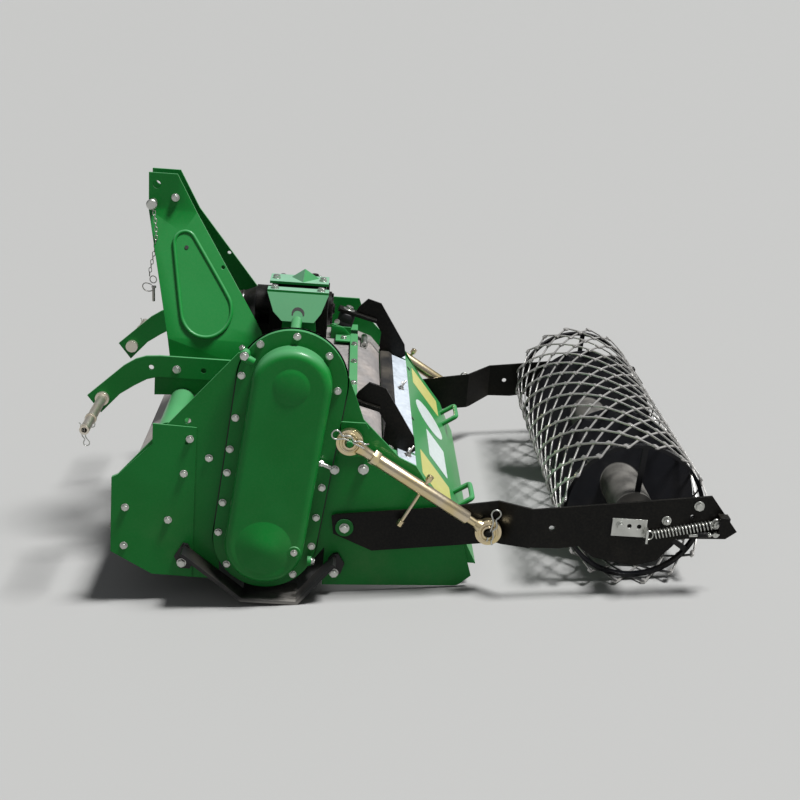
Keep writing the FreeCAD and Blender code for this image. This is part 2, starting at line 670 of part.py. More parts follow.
# Rotor: tube, flanges and angled hoes
FLANGES = 6
tube = rod("rotorTube", "xz", s.rotorX, s.rotorZ, s.rotorTubeRadius, -s.sideInner + 16, s.sideInner - 16)
stub = rod("rotorStub", "xz", s.rotorX, s.rotorZ, 25, -s.sideInner + 2, s.sideInner - 2)
rotor_parts = [tube, stub]
HOE_ARMS = 4
for k in range(FLANGES):
    middle = (k - (FLANGES - 1) / 2) * (s.sideInner - 70) * 2 / FLANGES
    rotor_parts.append(rod(f"rotorFlange{k}", "xz", s.rotorX, s.rotorZ, s.rotorFlangeRadius,
                           middle - 5, middle + 5))
    foot = 62 if k % 2 else -62
    for j in range(HOE_ARMS):
        angle = 360 / HOE_ARMS * j + 30 * k
        ux, uz = math.cos(math.radians(angle)), math.sin(math.radians(angle))
        root_r = 58
        half = 24
        tip = s.rotorTip * 0.985
        points = []
        for along, side in ((root_r, -half), (tip, -half * 0.7), (tip, half * 0.7), (root_r, half)):
            points.append((s.rotorX + ux * along - uz * side, s.rotorZ + uz * along + ux * side))
        shank = plate(f"hoeShank{k}{j}", "xz", points, middle + 5, middle + 13)
        inner = s.rotorTip * 0.985 - 9
        points = []
        for along, side in ((inner, -half * 0.7), (tip, -half * 0.7), (tip, half * 0.7), (inner, half * 0.7)):
            points.append((s.rotorX + ux * along - uz * side, s.rotorZ + uz * along + ux * side))
        blade = plate(f"hoeFoot{k}{j}", "xz", points, middle + 9, middle + 9 + foot)
        rotor_parts += [shank, blade]
node("rotor", fuse("rotorSet", rotor_parts))

# Input shaft inside its guard
node("inputShaft", fuse("inputSet", [
    rod("splineShaft", "yz", 0, s.inputZ, s.inputRadius, -222, -119),
    rod("splineCollar", "yz", 0, s.inputZ, 24, -140, -119)]))

# Tailboard with its two black lever arms
panel = bent_sheet("tailSheet", "xz", [
    (338, 318, (-0.4, -1)), (392, 298, (-0.75, -0.75)), (538, 118, (-0.85, -0.45)),
    (563, 62, (-0.9, -0.5)), (590, 12, (-0.85, -0.5)),
], s.tailThick, -s.tailHalf, s.tailHalf)
cheeks = [plate(f"tailCheek{k}", "xz", [(392, 298), (538, 118), (563, 62), (590, 12), (560, 12), (520, 96)],
                k * s.tailHalf, k * (s.tailHalf - 5)) for k in (-1, 1)]
hinge_bar = rod("hingeBar", "xz", s.hingeX, s.hingeZ, 9, -s.sideInner + 6, s.sideInner - 6)
lever_out = s.tailArmHalf + s.tailArmThick
leaves = [plate(f"hingeLeaf{k}", "xz", [
    (s.hingeX + 2, s.hingeZ - 4), (344, 309), (344, 314), (s.hingeX + 2, s.hingeZ + 4)], start, end)
    for k, (start, end) in enumerate((
        (-540, -lever_out), (-s.tailArmHalf, -200), (-140, 140), (200, s.tailArmHalf), (lever_out, 540)))]
node("tailboard", fuse("tailSet", [panel, *cheeks, hinge_bar, *leaves]))
node("tailStrip", plate("stripSheet", "xz", [(338, 318), (392, 298), (393.8, 302.9), (339.8, 322.9)],
                        -s.tailArmHalf + 10, s.tailArmHalf - 10))
arm = plate("leverPlate", "xz", [
    (206, 470), (214, 486), (245, 517), (293, 503), (386, 358), (392, 318), (372, 318 - 34 * 20 / 54), (338, 318),
    (318, 300),
    (302, 306), (296, 352), (299, 399), (268, 444), (226, 462)],
    -lever_out, -s.tailArmHalf, holes=[(s.hingeX, s.hingeZ, 9)])
# The lever's underside rests on the buffer's slanted top.
rest_x = 160 + lean[0] * s.bufferHeight
rest_z = 400.6 + lean[1] * s.bufferHeight
lever = plate("leverBar", "xz", [
    (rest_x - 37 * lean[1], rest_z + 37 * lean[0]), (rest_x + 76 * lean[1], rest_z - 76 * lean[0]),
    (rest_x + 78 * lean[1], rest_z - 67 * lean[0]), (rest_x - 34.6 * lean[1], rest_z + 46 * lean[0] - 0.2)],
    -(s.tailArmHalf + 26), -(s.tailArmHalf - 22))
pair("tailArm", fuse("tailArmSet", [arm, lever]))


def handle(name, y):
    base_x, base_z = 531, 298 - 139 * 180 / 146
    out_x, out_z = 36.4, 36.4 * 146 / 180
    legs = []
    for k, side in enumerate((-58, 58)):
        leg = doc.addObject("Part::Cylinder", f"{name}Leg{k}")
        leg.Radius = 7
        leg.Height = math.hypot(out_x, out_z)
        leg.Placement = Placement(Vector(base_x, y + side, base_z),
                                  Rotation(Vector(0, 0, 1), Vector(out_x, 0, out_z)))
        knee = doc.addObject("Part::Sphere", f"{name}Knee{k}")
        knee.Radius = 7
        knee.Placement.Base = Vector(base_x + out_x, y + side, base_z + out_z)
        legs += [leg, knee]
    grip = doc.addObject("Part::Cylinder", f"{name}Grip")
    grip.Radius = 7
    grip.Height = 116
    grip.Placement = Placement(Vector(base_x + out_x, y - 58, base_z + out_z), Rotation(Vector(0, 0, 1), Vector(0, 1, 0)))
    return legs + [grip]


node("tailHandles", fuse("handleSet", handle("handleNear", -382) + handle("handleFar", 382)))

# Roller carrier: stepped arms joined by the roller's fixed axle
plan = polygon("armPlan", "xy", [
    (120, -arm_out), (636, -arm_out), (722, -arm_out - s.armStep), (ARM_END_X + 20, -arm_out - s.armStep),
    (ARM_END_X + 20, -arm_in - s.armStep), (725, -arm_in - s.armStep), (639, -arm_in), (120, -arm_in)])
plan_solid = extrude("armBent", plan, "xy", 0, 420)
side_view = plate("armSide", "xz", [
    (160, 147), (168, 94), (282, 48), (523, 81), (652, 100), (729, 124), (809, 127), (862, 137), (908, 106),
    (s.rollerX - 70, 96), (s.rollerX, 88), (s.rollerX + 62, 108), (s.rollerX + 105, 178), (ARM_END_X - 30, 186),
    (ARM_END_X, ARM_END_Z), (ARM_END_X - 84, 313), (797, 250), (719, 239), (630, 224), (547, 209), (467, 194),
    (171, 153),
], -760, -600, holes=[(s.armPivotX, s.armPivotZ, 12 + s.runningGap), (782, 187, 8), (1176, 248, 6)])
bent_arm = common("bentArm", plan_solid, side_view)
hub = rod("armHub", "xz", s.rollerX, s.rollerZ, 40, -arm_in - s.armStep, -(s.rollerHalf + 26))
lug_pin = rod("lugPin", "xz", s.lowerEyeX, s.lowerEyeZ, s.eyePinRadius, -(eye_y + 20), -arm_out)
lug_collar = rod("lugCollar", "xz", s.lowerEyeX, s.lowerEyeZ, 15, -eye_y + s.eyeThick / 2 + s.runningGap,
                 -arm_out)
end_block = block("endBlock", ARM_END_X - 62, ARM_END_X - 34, -arm_out - s.armStep - 34, -arm_out - s.armStep, 214, 262)
node("rollerAxle", rod("axleBar", "xz", s.rollerX, s.rollerZ, s.axleRadius, -(s.rollerHalf + 26), s.rollerHalf + 26))

spring_y = arm_out + s.armStep + 17
spring_start = Vector(1052, -spring_y.value, 190)
spring_end = Vector(1247, -spring_y.value, 238)


def slanted(name, start, end, radius):
    item = doc.addObject("Part::Cylinder", name)
    bind(item, "Radius", radius)
    item.Height = (end - start).Length
    item.Placement = Placement(start, Rotation(Vector(0, 0, 1), end - start))
    item.setExpression("Placement.Base.y", f"0 - {spring_y.text}")
    return item


spring_axis = (spring_end - spring_start).normalize()
coil = slanted("springCoil", spring_start + spring_axis * 4, spring_start + spring_axis * 182, s.springRadius)
stud = slanted("springStud", spring_start - spring_axis * 16, spring_end + spring_axis * 18, 5)
stud_bore = slanted("studBore", spring_start - spring_axis * 20, spring_end + spring_axis * 22, 5)
pair("scraperSpring", fuse("springSet", [coil, stud]))
angle_plate = plate("anglePlate", "xz", [(951, 231), (1050, 231), (1050, 178), (951, 178)],
                    -(arm_out + s.armStep + 4), -(arm_out + s.armStep),
                    holes=[(x, 210, 6.5) for x in (974, 1000, 1028)])
angle_lug = block("angleLug", 1044, 1050, -(arm_out + s.armStep + 36), -(arm_out + s.armStep + 4), 172, 212)
pair("springBracket", fuse("springBracketSet", [angle_plate, cut("lugBored", angle_lug, stud_bore)]))
pair("rollerArm", fuse("rollerArmSet", [
    bent_arm, hub, lug_pin, lug_collar, cut("blockBored", end_block, stud_bore)]))

# Roller core: tube on bushes, end hoops on spokes and two slanted plates
tube_bore = s.rollerTubeRadius - s.rollerTubeWall
core_parts = [rod("coreTube", "xz", s.rollerX, s.rollerZ, s.rollerTubeRadius, -s.rollerHalf, s.rollerHalf, tube_bore)]
core_parts += [rod(f"coreBush{k}", "xz", s.rollerX, s.rollerZ, tube_bore + 1, k * s.rollerHalf,
                   k * (s.rollerHalf - s.bushLength), s.axleRadius + s.runningGap) for k in (-1, 1)]

# A strand's flats dip towards the axis between its corners, by this share.
inner_layer = s.rollerRadius - s.strandDepth - s.strandGap
flat_share = cosine(s.strandTurn / (2 * s.strandSteps) + s.strandWidth * 90 / (math.pi * inner_layer))
rim = (inner_layer - s.strandDepth) * flat_share - s.seatGap
SPOKE_ANGLES = (87, 207, 327)
for k in (-1, 1):
    core_parts.append(rod(f"hoop{k}", "xz", s.rollerX, s.rollerZ, rim, k * s.rollerHalf,
                          k * (s.rollerHalf - s.hoopWidth), rim - s.hoopDepth))
    for angle in SPOKE_ANGLES:
        ux, uz = math.cos(math.radians(angle)), math.sin(math.radians(angle))
        ends = (s.rollerTubeRadius - 2, rim - s.hoopDepth + 2)
        corners = [(s.rollerX + ux * ends[i] - uz * side, s.rollerZ + uz * ends[i] + ux * side)
                   for i, side in ((0, -s.spokeWidth / 2), (1, -s.spokeWidth / 2),
                                   (1, s.spokeWidth / 2), (0, s.spokeWidth / 2))]
        core_parts.append(plate(f"spoke{k}_{angle}".replace("-", "m"), "xz", corners, k * s.rollerHalf,
                                k * (s.rollerHalf - s.spokeThick)))


def slanted_plate(name, y):
    """Oval plate that fills the mesh's bore at a slant and is fixed on the tube."""
    slab = doc.addObject("Part::Cylinder", name + "Slab")
    bind(slab, "Radius", s.rollerRadius * 2)
    bind(slab, "Height", s.plateThick)
    lean = sine(s.plateTilt)
    place(slab, s.rollerX, y, s.rollerZ)
    slab.setExpression("Placement.Rotation.Axis.x", f"0 - {cosine(s.plateTilt).text}")
    slab.setExpression("Placement.Rotation.Axis.y", f"0 - {(lean * cosine(s.plateTurn)).text}")
    slab.setExpression("Placement.Rotation.Axis.z", "0")
    slab.setExpression("Placement.Rotation.Angle", degrees(f"acos(0 - {(lean * sine(s.plateTurn)).text})"))
    ring = rod(name + "Ring", "xz", s.rollerX, s.rollerZ, rim, y - s.rollerRadius, y + s.rollerRadius,
               s.rollerTubeRadius - 2)
    return common(name, ring, slab)


node("rollerCore", fuse("coreSet", [
    *core_parts, slanted_plate("nearPlate", s.plateNearY), slanted_plate("farPlate", s.plateFarY)]))


# Roller mesh: two families of flat helical strands
def strand(start_angle, turn, outer, depth, width, half, steps):
    """Faceted strip wound on the roller's hoops."""
    rings = []
    for i in range(steps + 1):
        part = i / steps
        y = -half + 2 * half * part
        angle = math.radians(start_angle + turn * part)
        spread = width / (2 * outer)
        ring = []
        for radius, side in ((outer, -1), (outer, 1), (outer - depth, 1), (outer - depth, -1)):
            ring.append(Vector(TABLE["rollerX"] + radius * math.cos(angle + side * spread), y,
                               TABLE["rollerZ"] + radius * math.sin(angle + side * spread)))
        rings.append(ring)
    faces = []
    for first, second in zip(rings, rings[1:]):
        for k in range(4):
            a, b = first[k], first[(k + 1) % 4]
            c, d = second[(k + 1) % 4], second[k]
            faces.append(Part.Face(Part.makePolygon([a, b, c, a])))
            faces.append(Part.Face(Part.makePolygon([a, c, d, a])))
    for ring in (rings[0], rings[-1]):
        faces.append(Part.Face(Part.makePolygon([*ring, ring[0]])))
    solid = Part.Solid(Part.Shell(faces))
    return solid if solid.Volume > 0 else Part.Solid(Part.Shell([f.reversed() for f in faces]))


mesh_half = TABLE["rollerHalf"] + TABLE["strandOverhang"]
strands = []
for k in range(TABLE["strandCount"]):
    base = TABLE["strandStart"] + 360 / TABLE["strandCount"] * k
    for turn, outer in ((TABLE["strandTurn"], TABLE["rollerRadius"]), (-TABLE["strandTurn"], inner_layer.value)):
        strands.append(strand(base, turn, outer, TABLE["strandDepth"], TABLE["strandWidth"], mesh_half,
                              TABLE["strandSteps"]))
mesh = doc.addObject("Part::Feature", "meshStrands")
mesh.Shape = Part.makeCompound(strands)
node("rollerMesh", mesh)


# Turnbuckles between the side plates and the roller arms
run = s.lowerEyeX - s.upperEyeX
fall = s.lowerEyeZ - s.upperEyeZ
span = root(run * run + fall * fall)


def on_line(name, distance, length, radius):
    item = doc.addObject("Part::Cylinder", name)
    bind(item, "Radius", radius)
    bind(item, "Height", length)
    item.Placement = Placement(Vector(), Rotation(Vector(0, 0, 1), Vector(run.value, 0, fall.value)))
    place(item, s.upperEyeX + run * distance / span, -eye_y, s.upperEyeZ + fall * distance / span)
    item.setExpression("Placement.Rotation.Angle", f"90 + atan(({(-fall).text}) / {run.text}) / 1 deg")
    return item


def eye(name, x, z, gap):
    return rod(name, "xz", x, z, s.eyeRadius, -eye_y - s.eyeThick / 2, -eye_y + s.eyeThick / 2,
               s.eyePinRadius + gap)


barrel_start = 98
barrel_outer = on_line("barrelOuter", s.eyePinRadius * 0 + barrel_start, s.barrelLength, s.barrelRadius)
barrel_bore = on_line("barrelBore", s.eyePinRadius * 0 + barrel_start + 60, s.barrelLength, 12.5)
upper_rod = on_line("upperRod", s.eyeRadius - 4, 64, 11.5)
lock_nut = on_line("lockNut", s.eyeRadius * 0 + barrel_start - 12, 12, 19)
bar = doc.addObject("Part::Cylinder", "tommyBar")
bar.Radius = 4
bar.Height = 166
bar.Placement = Placement(Vector(), Rotation(Vector(0, 0, 1), Vector(-0.457, 0, -0.89)))
place(bar, s.upperEyeX + run * 250 / span + 20, -eye_y, s.upperEyeZ + fall * 250 / span + 40)
pair("turnBarrel", fuse("barrelSet", [
    cut("barrelTube", barrel_outer, barrel_bore), upper_rod, lock_nut, bar, eye("upperEye", s.upperEyeX, s.upperEyeZ, s.runningGap)]))
pair("turnRod", fuse("rodSet", [
    on_line("lowerRod", span - s.eyeRadius + 4 - s.rodLength, s.rodLength, 11.5), eye("lowerEye", s.lowerEyeX, s.lowerEyeZ, s.eyeDrift)]))

doc.recompute()

faults = [item.Name for item in doc.Objects if {"Invalid", "Error"} & set(item.State)]
if faults:
    raise RuntimeError("objects that failed: " + ", ".join(faults))
os.makedirs("parts", exist_ok=True)
for name, item in NODES.items():
    if item.Shape.isNull() or not item.Shape.isValid():
        raise RuntimeError("bad shape: " + name)
    item.Shape.exportStep(f"parts/{name}.step")
    box = item.Shape.BoundBox
    print(f"{name:16s} x {box.XMin:8.1f} {box.XMax:8.1f}  y {box.YMin:7.1f} {box.YMax:7.1f}"
          f"  z {box.ZMin:7.1f} {box.ZMax:7.1f}  solids {len(item.Shape.Solids)}")
print("pitch", TABLE["parkPitch"], "shift", TABLE["parkShift"], "lift", TABLE["parkLift"])
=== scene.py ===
import math
import bpy
import bmesh
from mathutils import Matrix, Vector


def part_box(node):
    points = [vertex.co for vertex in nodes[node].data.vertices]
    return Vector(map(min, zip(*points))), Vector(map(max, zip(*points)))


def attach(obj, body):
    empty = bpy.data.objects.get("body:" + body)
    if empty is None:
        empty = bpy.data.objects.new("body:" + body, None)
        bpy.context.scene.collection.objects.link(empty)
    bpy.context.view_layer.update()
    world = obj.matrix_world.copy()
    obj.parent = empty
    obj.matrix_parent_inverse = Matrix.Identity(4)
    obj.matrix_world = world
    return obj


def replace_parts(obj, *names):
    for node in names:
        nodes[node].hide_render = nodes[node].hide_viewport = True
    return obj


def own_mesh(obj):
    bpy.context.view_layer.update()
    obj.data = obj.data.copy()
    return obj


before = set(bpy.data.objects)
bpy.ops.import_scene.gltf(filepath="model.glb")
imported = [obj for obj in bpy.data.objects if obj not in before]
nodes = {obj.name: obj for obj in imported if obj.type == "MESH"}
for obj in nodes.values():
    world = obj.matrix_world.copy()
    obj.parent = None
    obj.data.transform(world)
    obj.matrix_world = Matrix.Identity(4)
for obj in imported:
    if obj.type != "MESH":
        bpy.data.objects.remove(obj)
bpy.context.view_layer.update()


def boxMiddle(node):
    low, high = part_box(node)
    return (low + high) / 2


# The machine is drawn level, in millimetres, and parked like the CAD frame.
pinSpot, axleSpot = boxMiddle("topPin"), boxMiddle("rollerAxle")
levelPin, levelAxle = Vector((-0.446, 0, 0.910)), Vector((1.031, 0, 0.213))
stanceTilt = (math.atan2(levelAxle.z - levelPin.z, levelAxle.x - levelPin.x)
              - math.atan2(axleSpot.z - pinSpot.z, axleSpot.x - pinSpot.x))
stanceTurn = Matrix.Rotation(stanceTilt, 4, "Y")
stance = Matrix.Translation(Vector((pinSpot.x, 0, pinSpot.z)) - stanceTurn @ levelPin) @ stanceTurn

left, right = Vector((0, -1, 0)), Vector((0, 1, 0))
back, front, up = Vector((1, 0, 0)), Vector((-1, 0, 0)), Vector((0, 0, 1))


def mm(x, y, z):
    return Vector((x, y, z)) / 1000


print("stage: camera and light")
cameraValues = {
    "spot": (142.2, -4360.0, 1721.0), "yaw": 2.869, "pitch": 17.925, "roll": 4.587,
    "lens": 63.31, "sensor": 36,
}


def makeCamera(values):
    yaw, pitch, roll = (math.radians(values[key]) for key in ("yaw", "pitch", "roll"))
    ahead = Vector((math.sin(yaw) * math.cos(pitch), math.cos(yaw) * math.cos(pitch),
                    -math.sin(pitch)))
    side = Vector((math.cos(yaw), -math.sin(yaw), 0))
    above = side.cross(ahead)
    across = math.cos(roll) * side + math.sin(roll) * above
    upward = -math.sin(roll) * side + math.cos(roll) * above
    turn = Matrix((across, upward, -ahead)).transposed().to_4x4()
    data = bpy.data.cameras.new("camera")
    data.lens = values["lens"]
    data.sensor_width = values["sensor"]
    camera = bpy.data.objects.new("camera", data)
    bpy.context.scene.collection.objects.link(camera)
    camera.matrix_world = stance @ Matrix.Translation(mm(*values["spot"])) @ turn
    bpy.context.scene.camera = camera


makeCamera(cameraValues)

lightValues = {
    "key": {"spot": (2.0, -0.35, 4.7), "angle": 14.0, "power": 7.6},
    "fill": {"spot": (-2.5, -5.0, 3.4), "size": 4.0, "power": 12},
    "aim": (0, 0, 0.4),
    "air": 0.22, "airTone": (0.93, 0.96, 1.0, 1),
}


def makeLight(name, kind, values):
    data = bpy.data.lights.new(name, kind)
    data.energy = values["power"]
    if kind == "SUN":
        data.angle = math.radians(values["angle"])
    else:
        data.size = values["size"]
    lamp = bpy.data.objects.new(name, data)
    bpy.context.scene.collection.objects.link(lamp)
    lamp.location = values["spot"]
    ahead = Vector(lightValues["aim"]) - lamp.location
    lamp.rotation_euler = ahead.to_track_quat("-Z", "Y").to_euler()


makeLight("key", "SUN", lightValues["key"])
makeLight("fill", "AREA", lightValues["fill"])
bpy.context.scene.view_settings.view_transform = "Standard"
world = bpy.data.worlds.new("studio")
world.use_nodes = True
air = world.node_tree.nodes["Background"].inputs
air["Color"].default_value = lightValues["airTone"]
air["Strength"].default_value = lightValues["air"]
bpy.context.scene.world = world


class Wire:  # a shader socket that takes part in sums
    def __init__(self, paint, socket):
        self.paint, self.socket = paint, socket

    def sum(self, operation, other, turned=False):
        pair = (other, self) if turned else (self, other)
        return self.paint.add("ShaderNodeMath", {"operation": operation}, {0: pair[0], 1: pair[1]})

    def __add__(self, other):
        return self.sum("ADD", other)

    def __radd__(self, other):
        return self.sum("ADD", other, True)

    def __sub__(self, other):
        return self.sum("SUBTRACT", other)

    def __rsub__(self, other):
        return self.sum("SUBTRACT", other, True)

    def __mul__(self, other):
        return self.sum("MULTIPLY", other)

    def __pow__(self, other):
        return self.sum("POWER", other)

    def step(self, low, high):  # a soft step from 0 at low to 1 at high
        return self.paint.add("ShaderNodeMapRange", {"interpolation_type": "SMOOTHSTEP"},
                              {"Value": self, "From Min": low, "From Max": high})


class Paint:
    def __init__(self, name):
        self.material = bpy.data.materials.new(name)
        self.material.use_nodes = True
        self.tree = self.material.node_tree
        self.shader = self.tree.nodes["Principled BSDF"]
        self.spot = self.add("ShaderNodeTexCoord", out="Object")

    def add(self, kind, settings=None, values=None, out=0):
        node = self.tree.nodes.new(kind)
        for key, value in (settings or {}).items():
            setattr(node, key, value)
        self.feed(node, values or {})
        return Wire(self, node.outputs[out])

    def feed(self, node, values):
        for key, value in values.items():
            if isinstance(value, Wire):
                self.tree.links.new(value.socket, node.inputs[key])
            elif isinstance(value, tuple) and len(value) == 3 and node.inputs[key].type == "RGBA":
                node.inputs[key].default_value = (*value, 1)
            else:
                node.inputs[key].default_value = value

    def noise(self, scale, detail=2.0, rough=0.5, spot=None):
        return self.add("ShaderNodeTexNoise", None, {
            "Vector": spot or self.spot, "Scale": scale, "Detail": detail, "Roughness": rough})

    def blend(self, share, first, second):
        return self.add("ShaderNodeMix", {"data_type": "RGBA"}, {0: share, 6: first, 7: second}, 2)

    def part(self, letter):
        return self.add("ShaderNodeSeparateXYZ", None, {0: self.spot}, letter)

    def facing(self, letter):  # one component of the surface's own direction
        normal = self.add("ShaderNodeNewGeometry", out="Normal")
        return self.add("ShaderNodeSeparateXYZ", None, {0: normal}, letter)

    def stretched(self, x, y, z):
        return self.add("ShaderNodeMapping", None, {"Vector": self.spot, "Scale": (x, y, z)})

    def done(self, colour, rough, height, strength, depth=0.0005, metal=0.0, coat=0.0, edge=0.0012,
             sheen=0.5, **fixed):  # soft edges first, then the bump on them
        soft = self.add("ShaderNodeBevel", {"samples": 4}, {"Radius": edge})
        soft = self.add("ShaderNodeBump", None, {
            "Strength": strength, "Distance": depth, "Height": height, "Normal": soft})
        self.feed(self.shader, {"Base Color": colour, "Roughness": rough, "Metallic": metal,
                                "Coat Weight": coat, "Normal": soft, "Specular IOR Level": sheen, **fixed})
        return self.material


# dirt colours, and one painted sheen: the pale tone that faces turned up are painted with
grimeAndSheen = {
    "enamel": (0.30, 0.26, 0.19), "metal": (0.24, 0.20, 0.15), "sheet": (0.30, 0.25, 0.19),
    "stain": (0.42, 0.36, 0.32), "plain": (0.28, 0.24, 0.18), "skid": (0.26, 0.22, 0.16),
    "paintedSkySheen": (0.40, 0.52, 0.50), "bare": (0.60, 0.585, 0.56), "rubbed": (0.13, 0.125, 0.115),
    "scuffed": (0.42, 0.40, 0.37),
}


def dust(paint, amount):  # how much dirt lies on a spot: low down, and on what faces up
    low = 1 - paint.part("Z").step(0.0, 0.42)
    level = paint.facing("Z").step(0.25, 0.95)
    cloud = paint.noise(7, 6, 0.62).step(0.42, 0.72)
    return (low * 0.75 + level * 0.45) * cloud * amount


def enamel(name, deep, bright, rough, amount, coat, sheen, skySheen=0.0):
    paint = Paint(name)
    cloud = paint.noise(3.2, 4, 0.55)
    specks = paint.noise(160, 3, 0.6).step(0.35, 0.75)
    colour = paint.blend(cloud.step(0.3, 0.7), deep, bright)
    if skySheen:  # painted sheen: faces turned up are painted paler, a painted reflection of the bright light above
        colour = paint.blend(paint.facing("Z").step(0.22, 0.78) * skySheen, colour, grimeAndSheen["paintedSkySheen"])
    dirt = dust(paint, amount)
    colour = paint.blend(dirt + specks * 0.02, colour, grimeAndSheen["enamel"])
    peel = paint.noise(420, 2, 0.5)
    return paint.done(colour, rough + dirt * 0.5 + cloud * 0.06, peel, 0.10, 0.0006,
                      coat=coat, sheen=sheen, **{"Coat Roughness": 0.12})


def metal(name, tone, other, rough, scale=260.0, grain=0.35):
    paint = Paint(name)
    fine = paint.noise(scale, 4, 0.65)
    cloud = paint.noise(18, 3, 0.5)
    colour = paint.blend(cloud.step(0.3, 0.7), tone, other)
    colour = paint.blend(dust(paint, 0.25), colour, grimeAndSheen["metal"])
    return paint.done(colour, rough + fine * 0.18 - 0.06, fine, grain, 0.0004, metal=1.0,
                      edge=0.0005)


def galvanised(name, pale, bright, stain):
    paint = Paint(name)
    cells = paint.add("ShaderNodeTexVoronoi", {"feature": "F1"},
                      {"Vector": paint.spot, "Scale": 95.0}, "Color")
    tone = paint.add("ShaderNodeSeparateColor", None, {0: cells}, 0)
    colour = paint.blend(tone * 0.5, pale, bright)
    cloud = paint.noise(9, 4, 0.6).step(0.4, 0.75)
    colour = paint.blend(cloud * stain, colour, grimeAndSheen["stain"])
    colour = paint.blend(dust(paint, stain), colour, grimeAndSheen["sheet"])
    return paint.done(colour, 0.42 + tone * 0.10 + cloud * 0.12, tone, 0.04, 0.0004, metal=0.6)


def axisReach(paint, centre):  # distance from the roller's axis
    x, z = paint.part("X") - centre.x, paint.part("Z") - centre.z
    return (x * x + z * z) ** 0.5


def wornStrand(name, centre):  # black strands rubbed bright on their outer side
    paint = Paint(name)
    rub = axisReach(paint, centre).step(0.2065, 0.2125)
    patch = paint.noise(26, 5, 0.65).step(0.30, 0.58)
    bare = rub * (0.45 + patch * 0.55)
    colour = paint.blend(bare, (0.012, 0.012, 0.013), grimeAndSheen["bare"])
    fine = paint.noise(700, 3, 0.6)
    return paint.done(colour, 0.46 - bare * 0.10 + fine * 0.1, fine, 0.35, metal=bare, edge=0.0006)


def plain(name, tone, other, rough, scale=300.0, strength=0.3, sheen=0.5):
    paint = Paint(name)
    fine = paint.noise(scale, 4, 0.6)
    colour = paint.blend(fine.step(0.35, 0.7), tone, other)
    colour = paint.blend(dust(paint, 0.3), colour, grimeAndSheen["plain"])
    return paint.done(colour, rough + fine * 0.08, fine, strength, edge=0.0008, sheen=sheen)


def wornCore(name, centre):  # black plates and hoops on a tube rubbed grey
    paint = Paint(name)
    tube = 1 - axisReach(paint, centre).step(0.0605, 0.064)
    patch = paint.noise(14, 6, 0.65).step(0.28, 0.60)
    fine = paint.noise(420, 3, 0.6)
    bare = tube * (0.35 + patch * 0.65)
    colour = paint.blend(bare, (0.0030, 0.0032, 0.0045), grimeAndSheen["rubbed"])
    colour = paint.blend(dust(paint, 0.04), colour, grimeAndSheen["metal"])
    return paint.done(colour, 0.30 + bare * 0.22 + fine * 0.06, fine, 0.15, coat=0.04,
                      metal=bare * 0.3, sheen=0.22)


def bottomWorn(name):  # black, scraped bare where it slides on the ground
    paint = Paint(name)
    low = 1 - paint.part("Z").step(0.004, 0.03)
    under = (0 - paint.facing("Z")).step(0.4, 0.9)
    scuff = paint.noise(30, 6, 0.7, paint.stretched(0.25, 1, 1)).step(0.3, 0.55)
    bare = (low * 0.6 + under) * scuff * 0.8
    fine = paint.noise(500, 3, 0.6)
    colour = paint.blend(bare, (0.011, 0.011, 0.0115), grimeAndSheen["scuffed"])
    colour = paint.blend(dust(paint, 0.10), colour, grimeAndSheen["skid"])
    return paint.done(colour, 0.36 + fine * 0.12, fine, 0.2, metal=bare * 0.9, sheen=0.25)


print("stage: finishes")
finishes = {
    "green": enamel("greenEnamel", (0.004, 0.136, 0.019), (0.006, 0.160, 0.026),
                    rough=0.30, amount=0.08, coat=0.05, sheen=0.13, skySheen=0.11),
    # a lit copy of the green enamel for the bracket's face: painted light, a brighter base and more
    # painted sheen
    "litGreen": enamel("litGreenEnamel", (0.006, 0.150, 0.026), (0.008, 0.170, 0.032),
                        rough=0.30, amount=0.08, coat=0.10, sheen=0.2, skySheen=0.34),
    "black": enamel("blackEnamel", (0.0024, 0.0024, 0.0022), (0.0036, 0.0035, 0.0032),
                    rough=0.34, amount=0.03, coat=0.03, sheen=0.12),
    "core": wornCore("wornCore", axleSpot),
    "zinc": metal("brightZinc", (0.60, 0.605, 0.57), (0.48, 0.49, 0.46), 0.32),
    "cream": metal("creamZinc", (0.70, 0.63, 0.52), (0.74, 0.70, 0.62), 0.36),
    "yellowZinc": metal("yellowZinc", (0.70, 0.57, 0.30), (0.68, 0.58, 0.43), 0.28, 180.0, 0.2),
    "steel": metal("machinedSteel", (0.46, 0.45, 0.43), (0.36, 0.34, 0.31), 0.34),
    # the hood's sheet is toned darker than the strip: painted shade, for the shade the hood lies in
    "galvanised": galvanised("shadedGalvanisedSheet", (0.27, 0.255, 0.25), (0.36, 0.34, 0.335), 0.40),
    "strip": galvanised("stripSheet", (0.50, 0.56, 0.62), (0.60, 0.65, 0.71), 0.12),
    "strand": wornStrand("wornStrand", axleSpot),
    "rubber": plain("bufferRubber", (0.006, 0.006, 0.0065), (0.010, 0.010, 0.0105),
                    0.55, 400.0, 0.25, sheen=0.25),
    "plastic": plain("guardPlastic", (0.0035, 0.0035, 0.0035), (0.006, 0.006, 0.006),
                     0.26, 240.0, 0.15, sheen=0.4),
    "skid": bottomWorn("skidBlack"),
    # black for the case's seal, and painted shade for holes, slots and the arch gap
    "sealAndShade": plain("blackSealAndPaintedShade", (0.006, 0.006, 0.006), (0.010, 0.010, 0.010), 0.6),
    "yellowPlate": plain("yellowPlate", (0.335, 0.325, 0.10), (0.36, 0.35, 0.115), 0.38, 60.0, 0.05),
    "whitePlate": plain("whitePlate", (0.40, 0.45, 0.44), (0.36, 0.41, 0.40), 0.34, 60.0, 0.05),
}
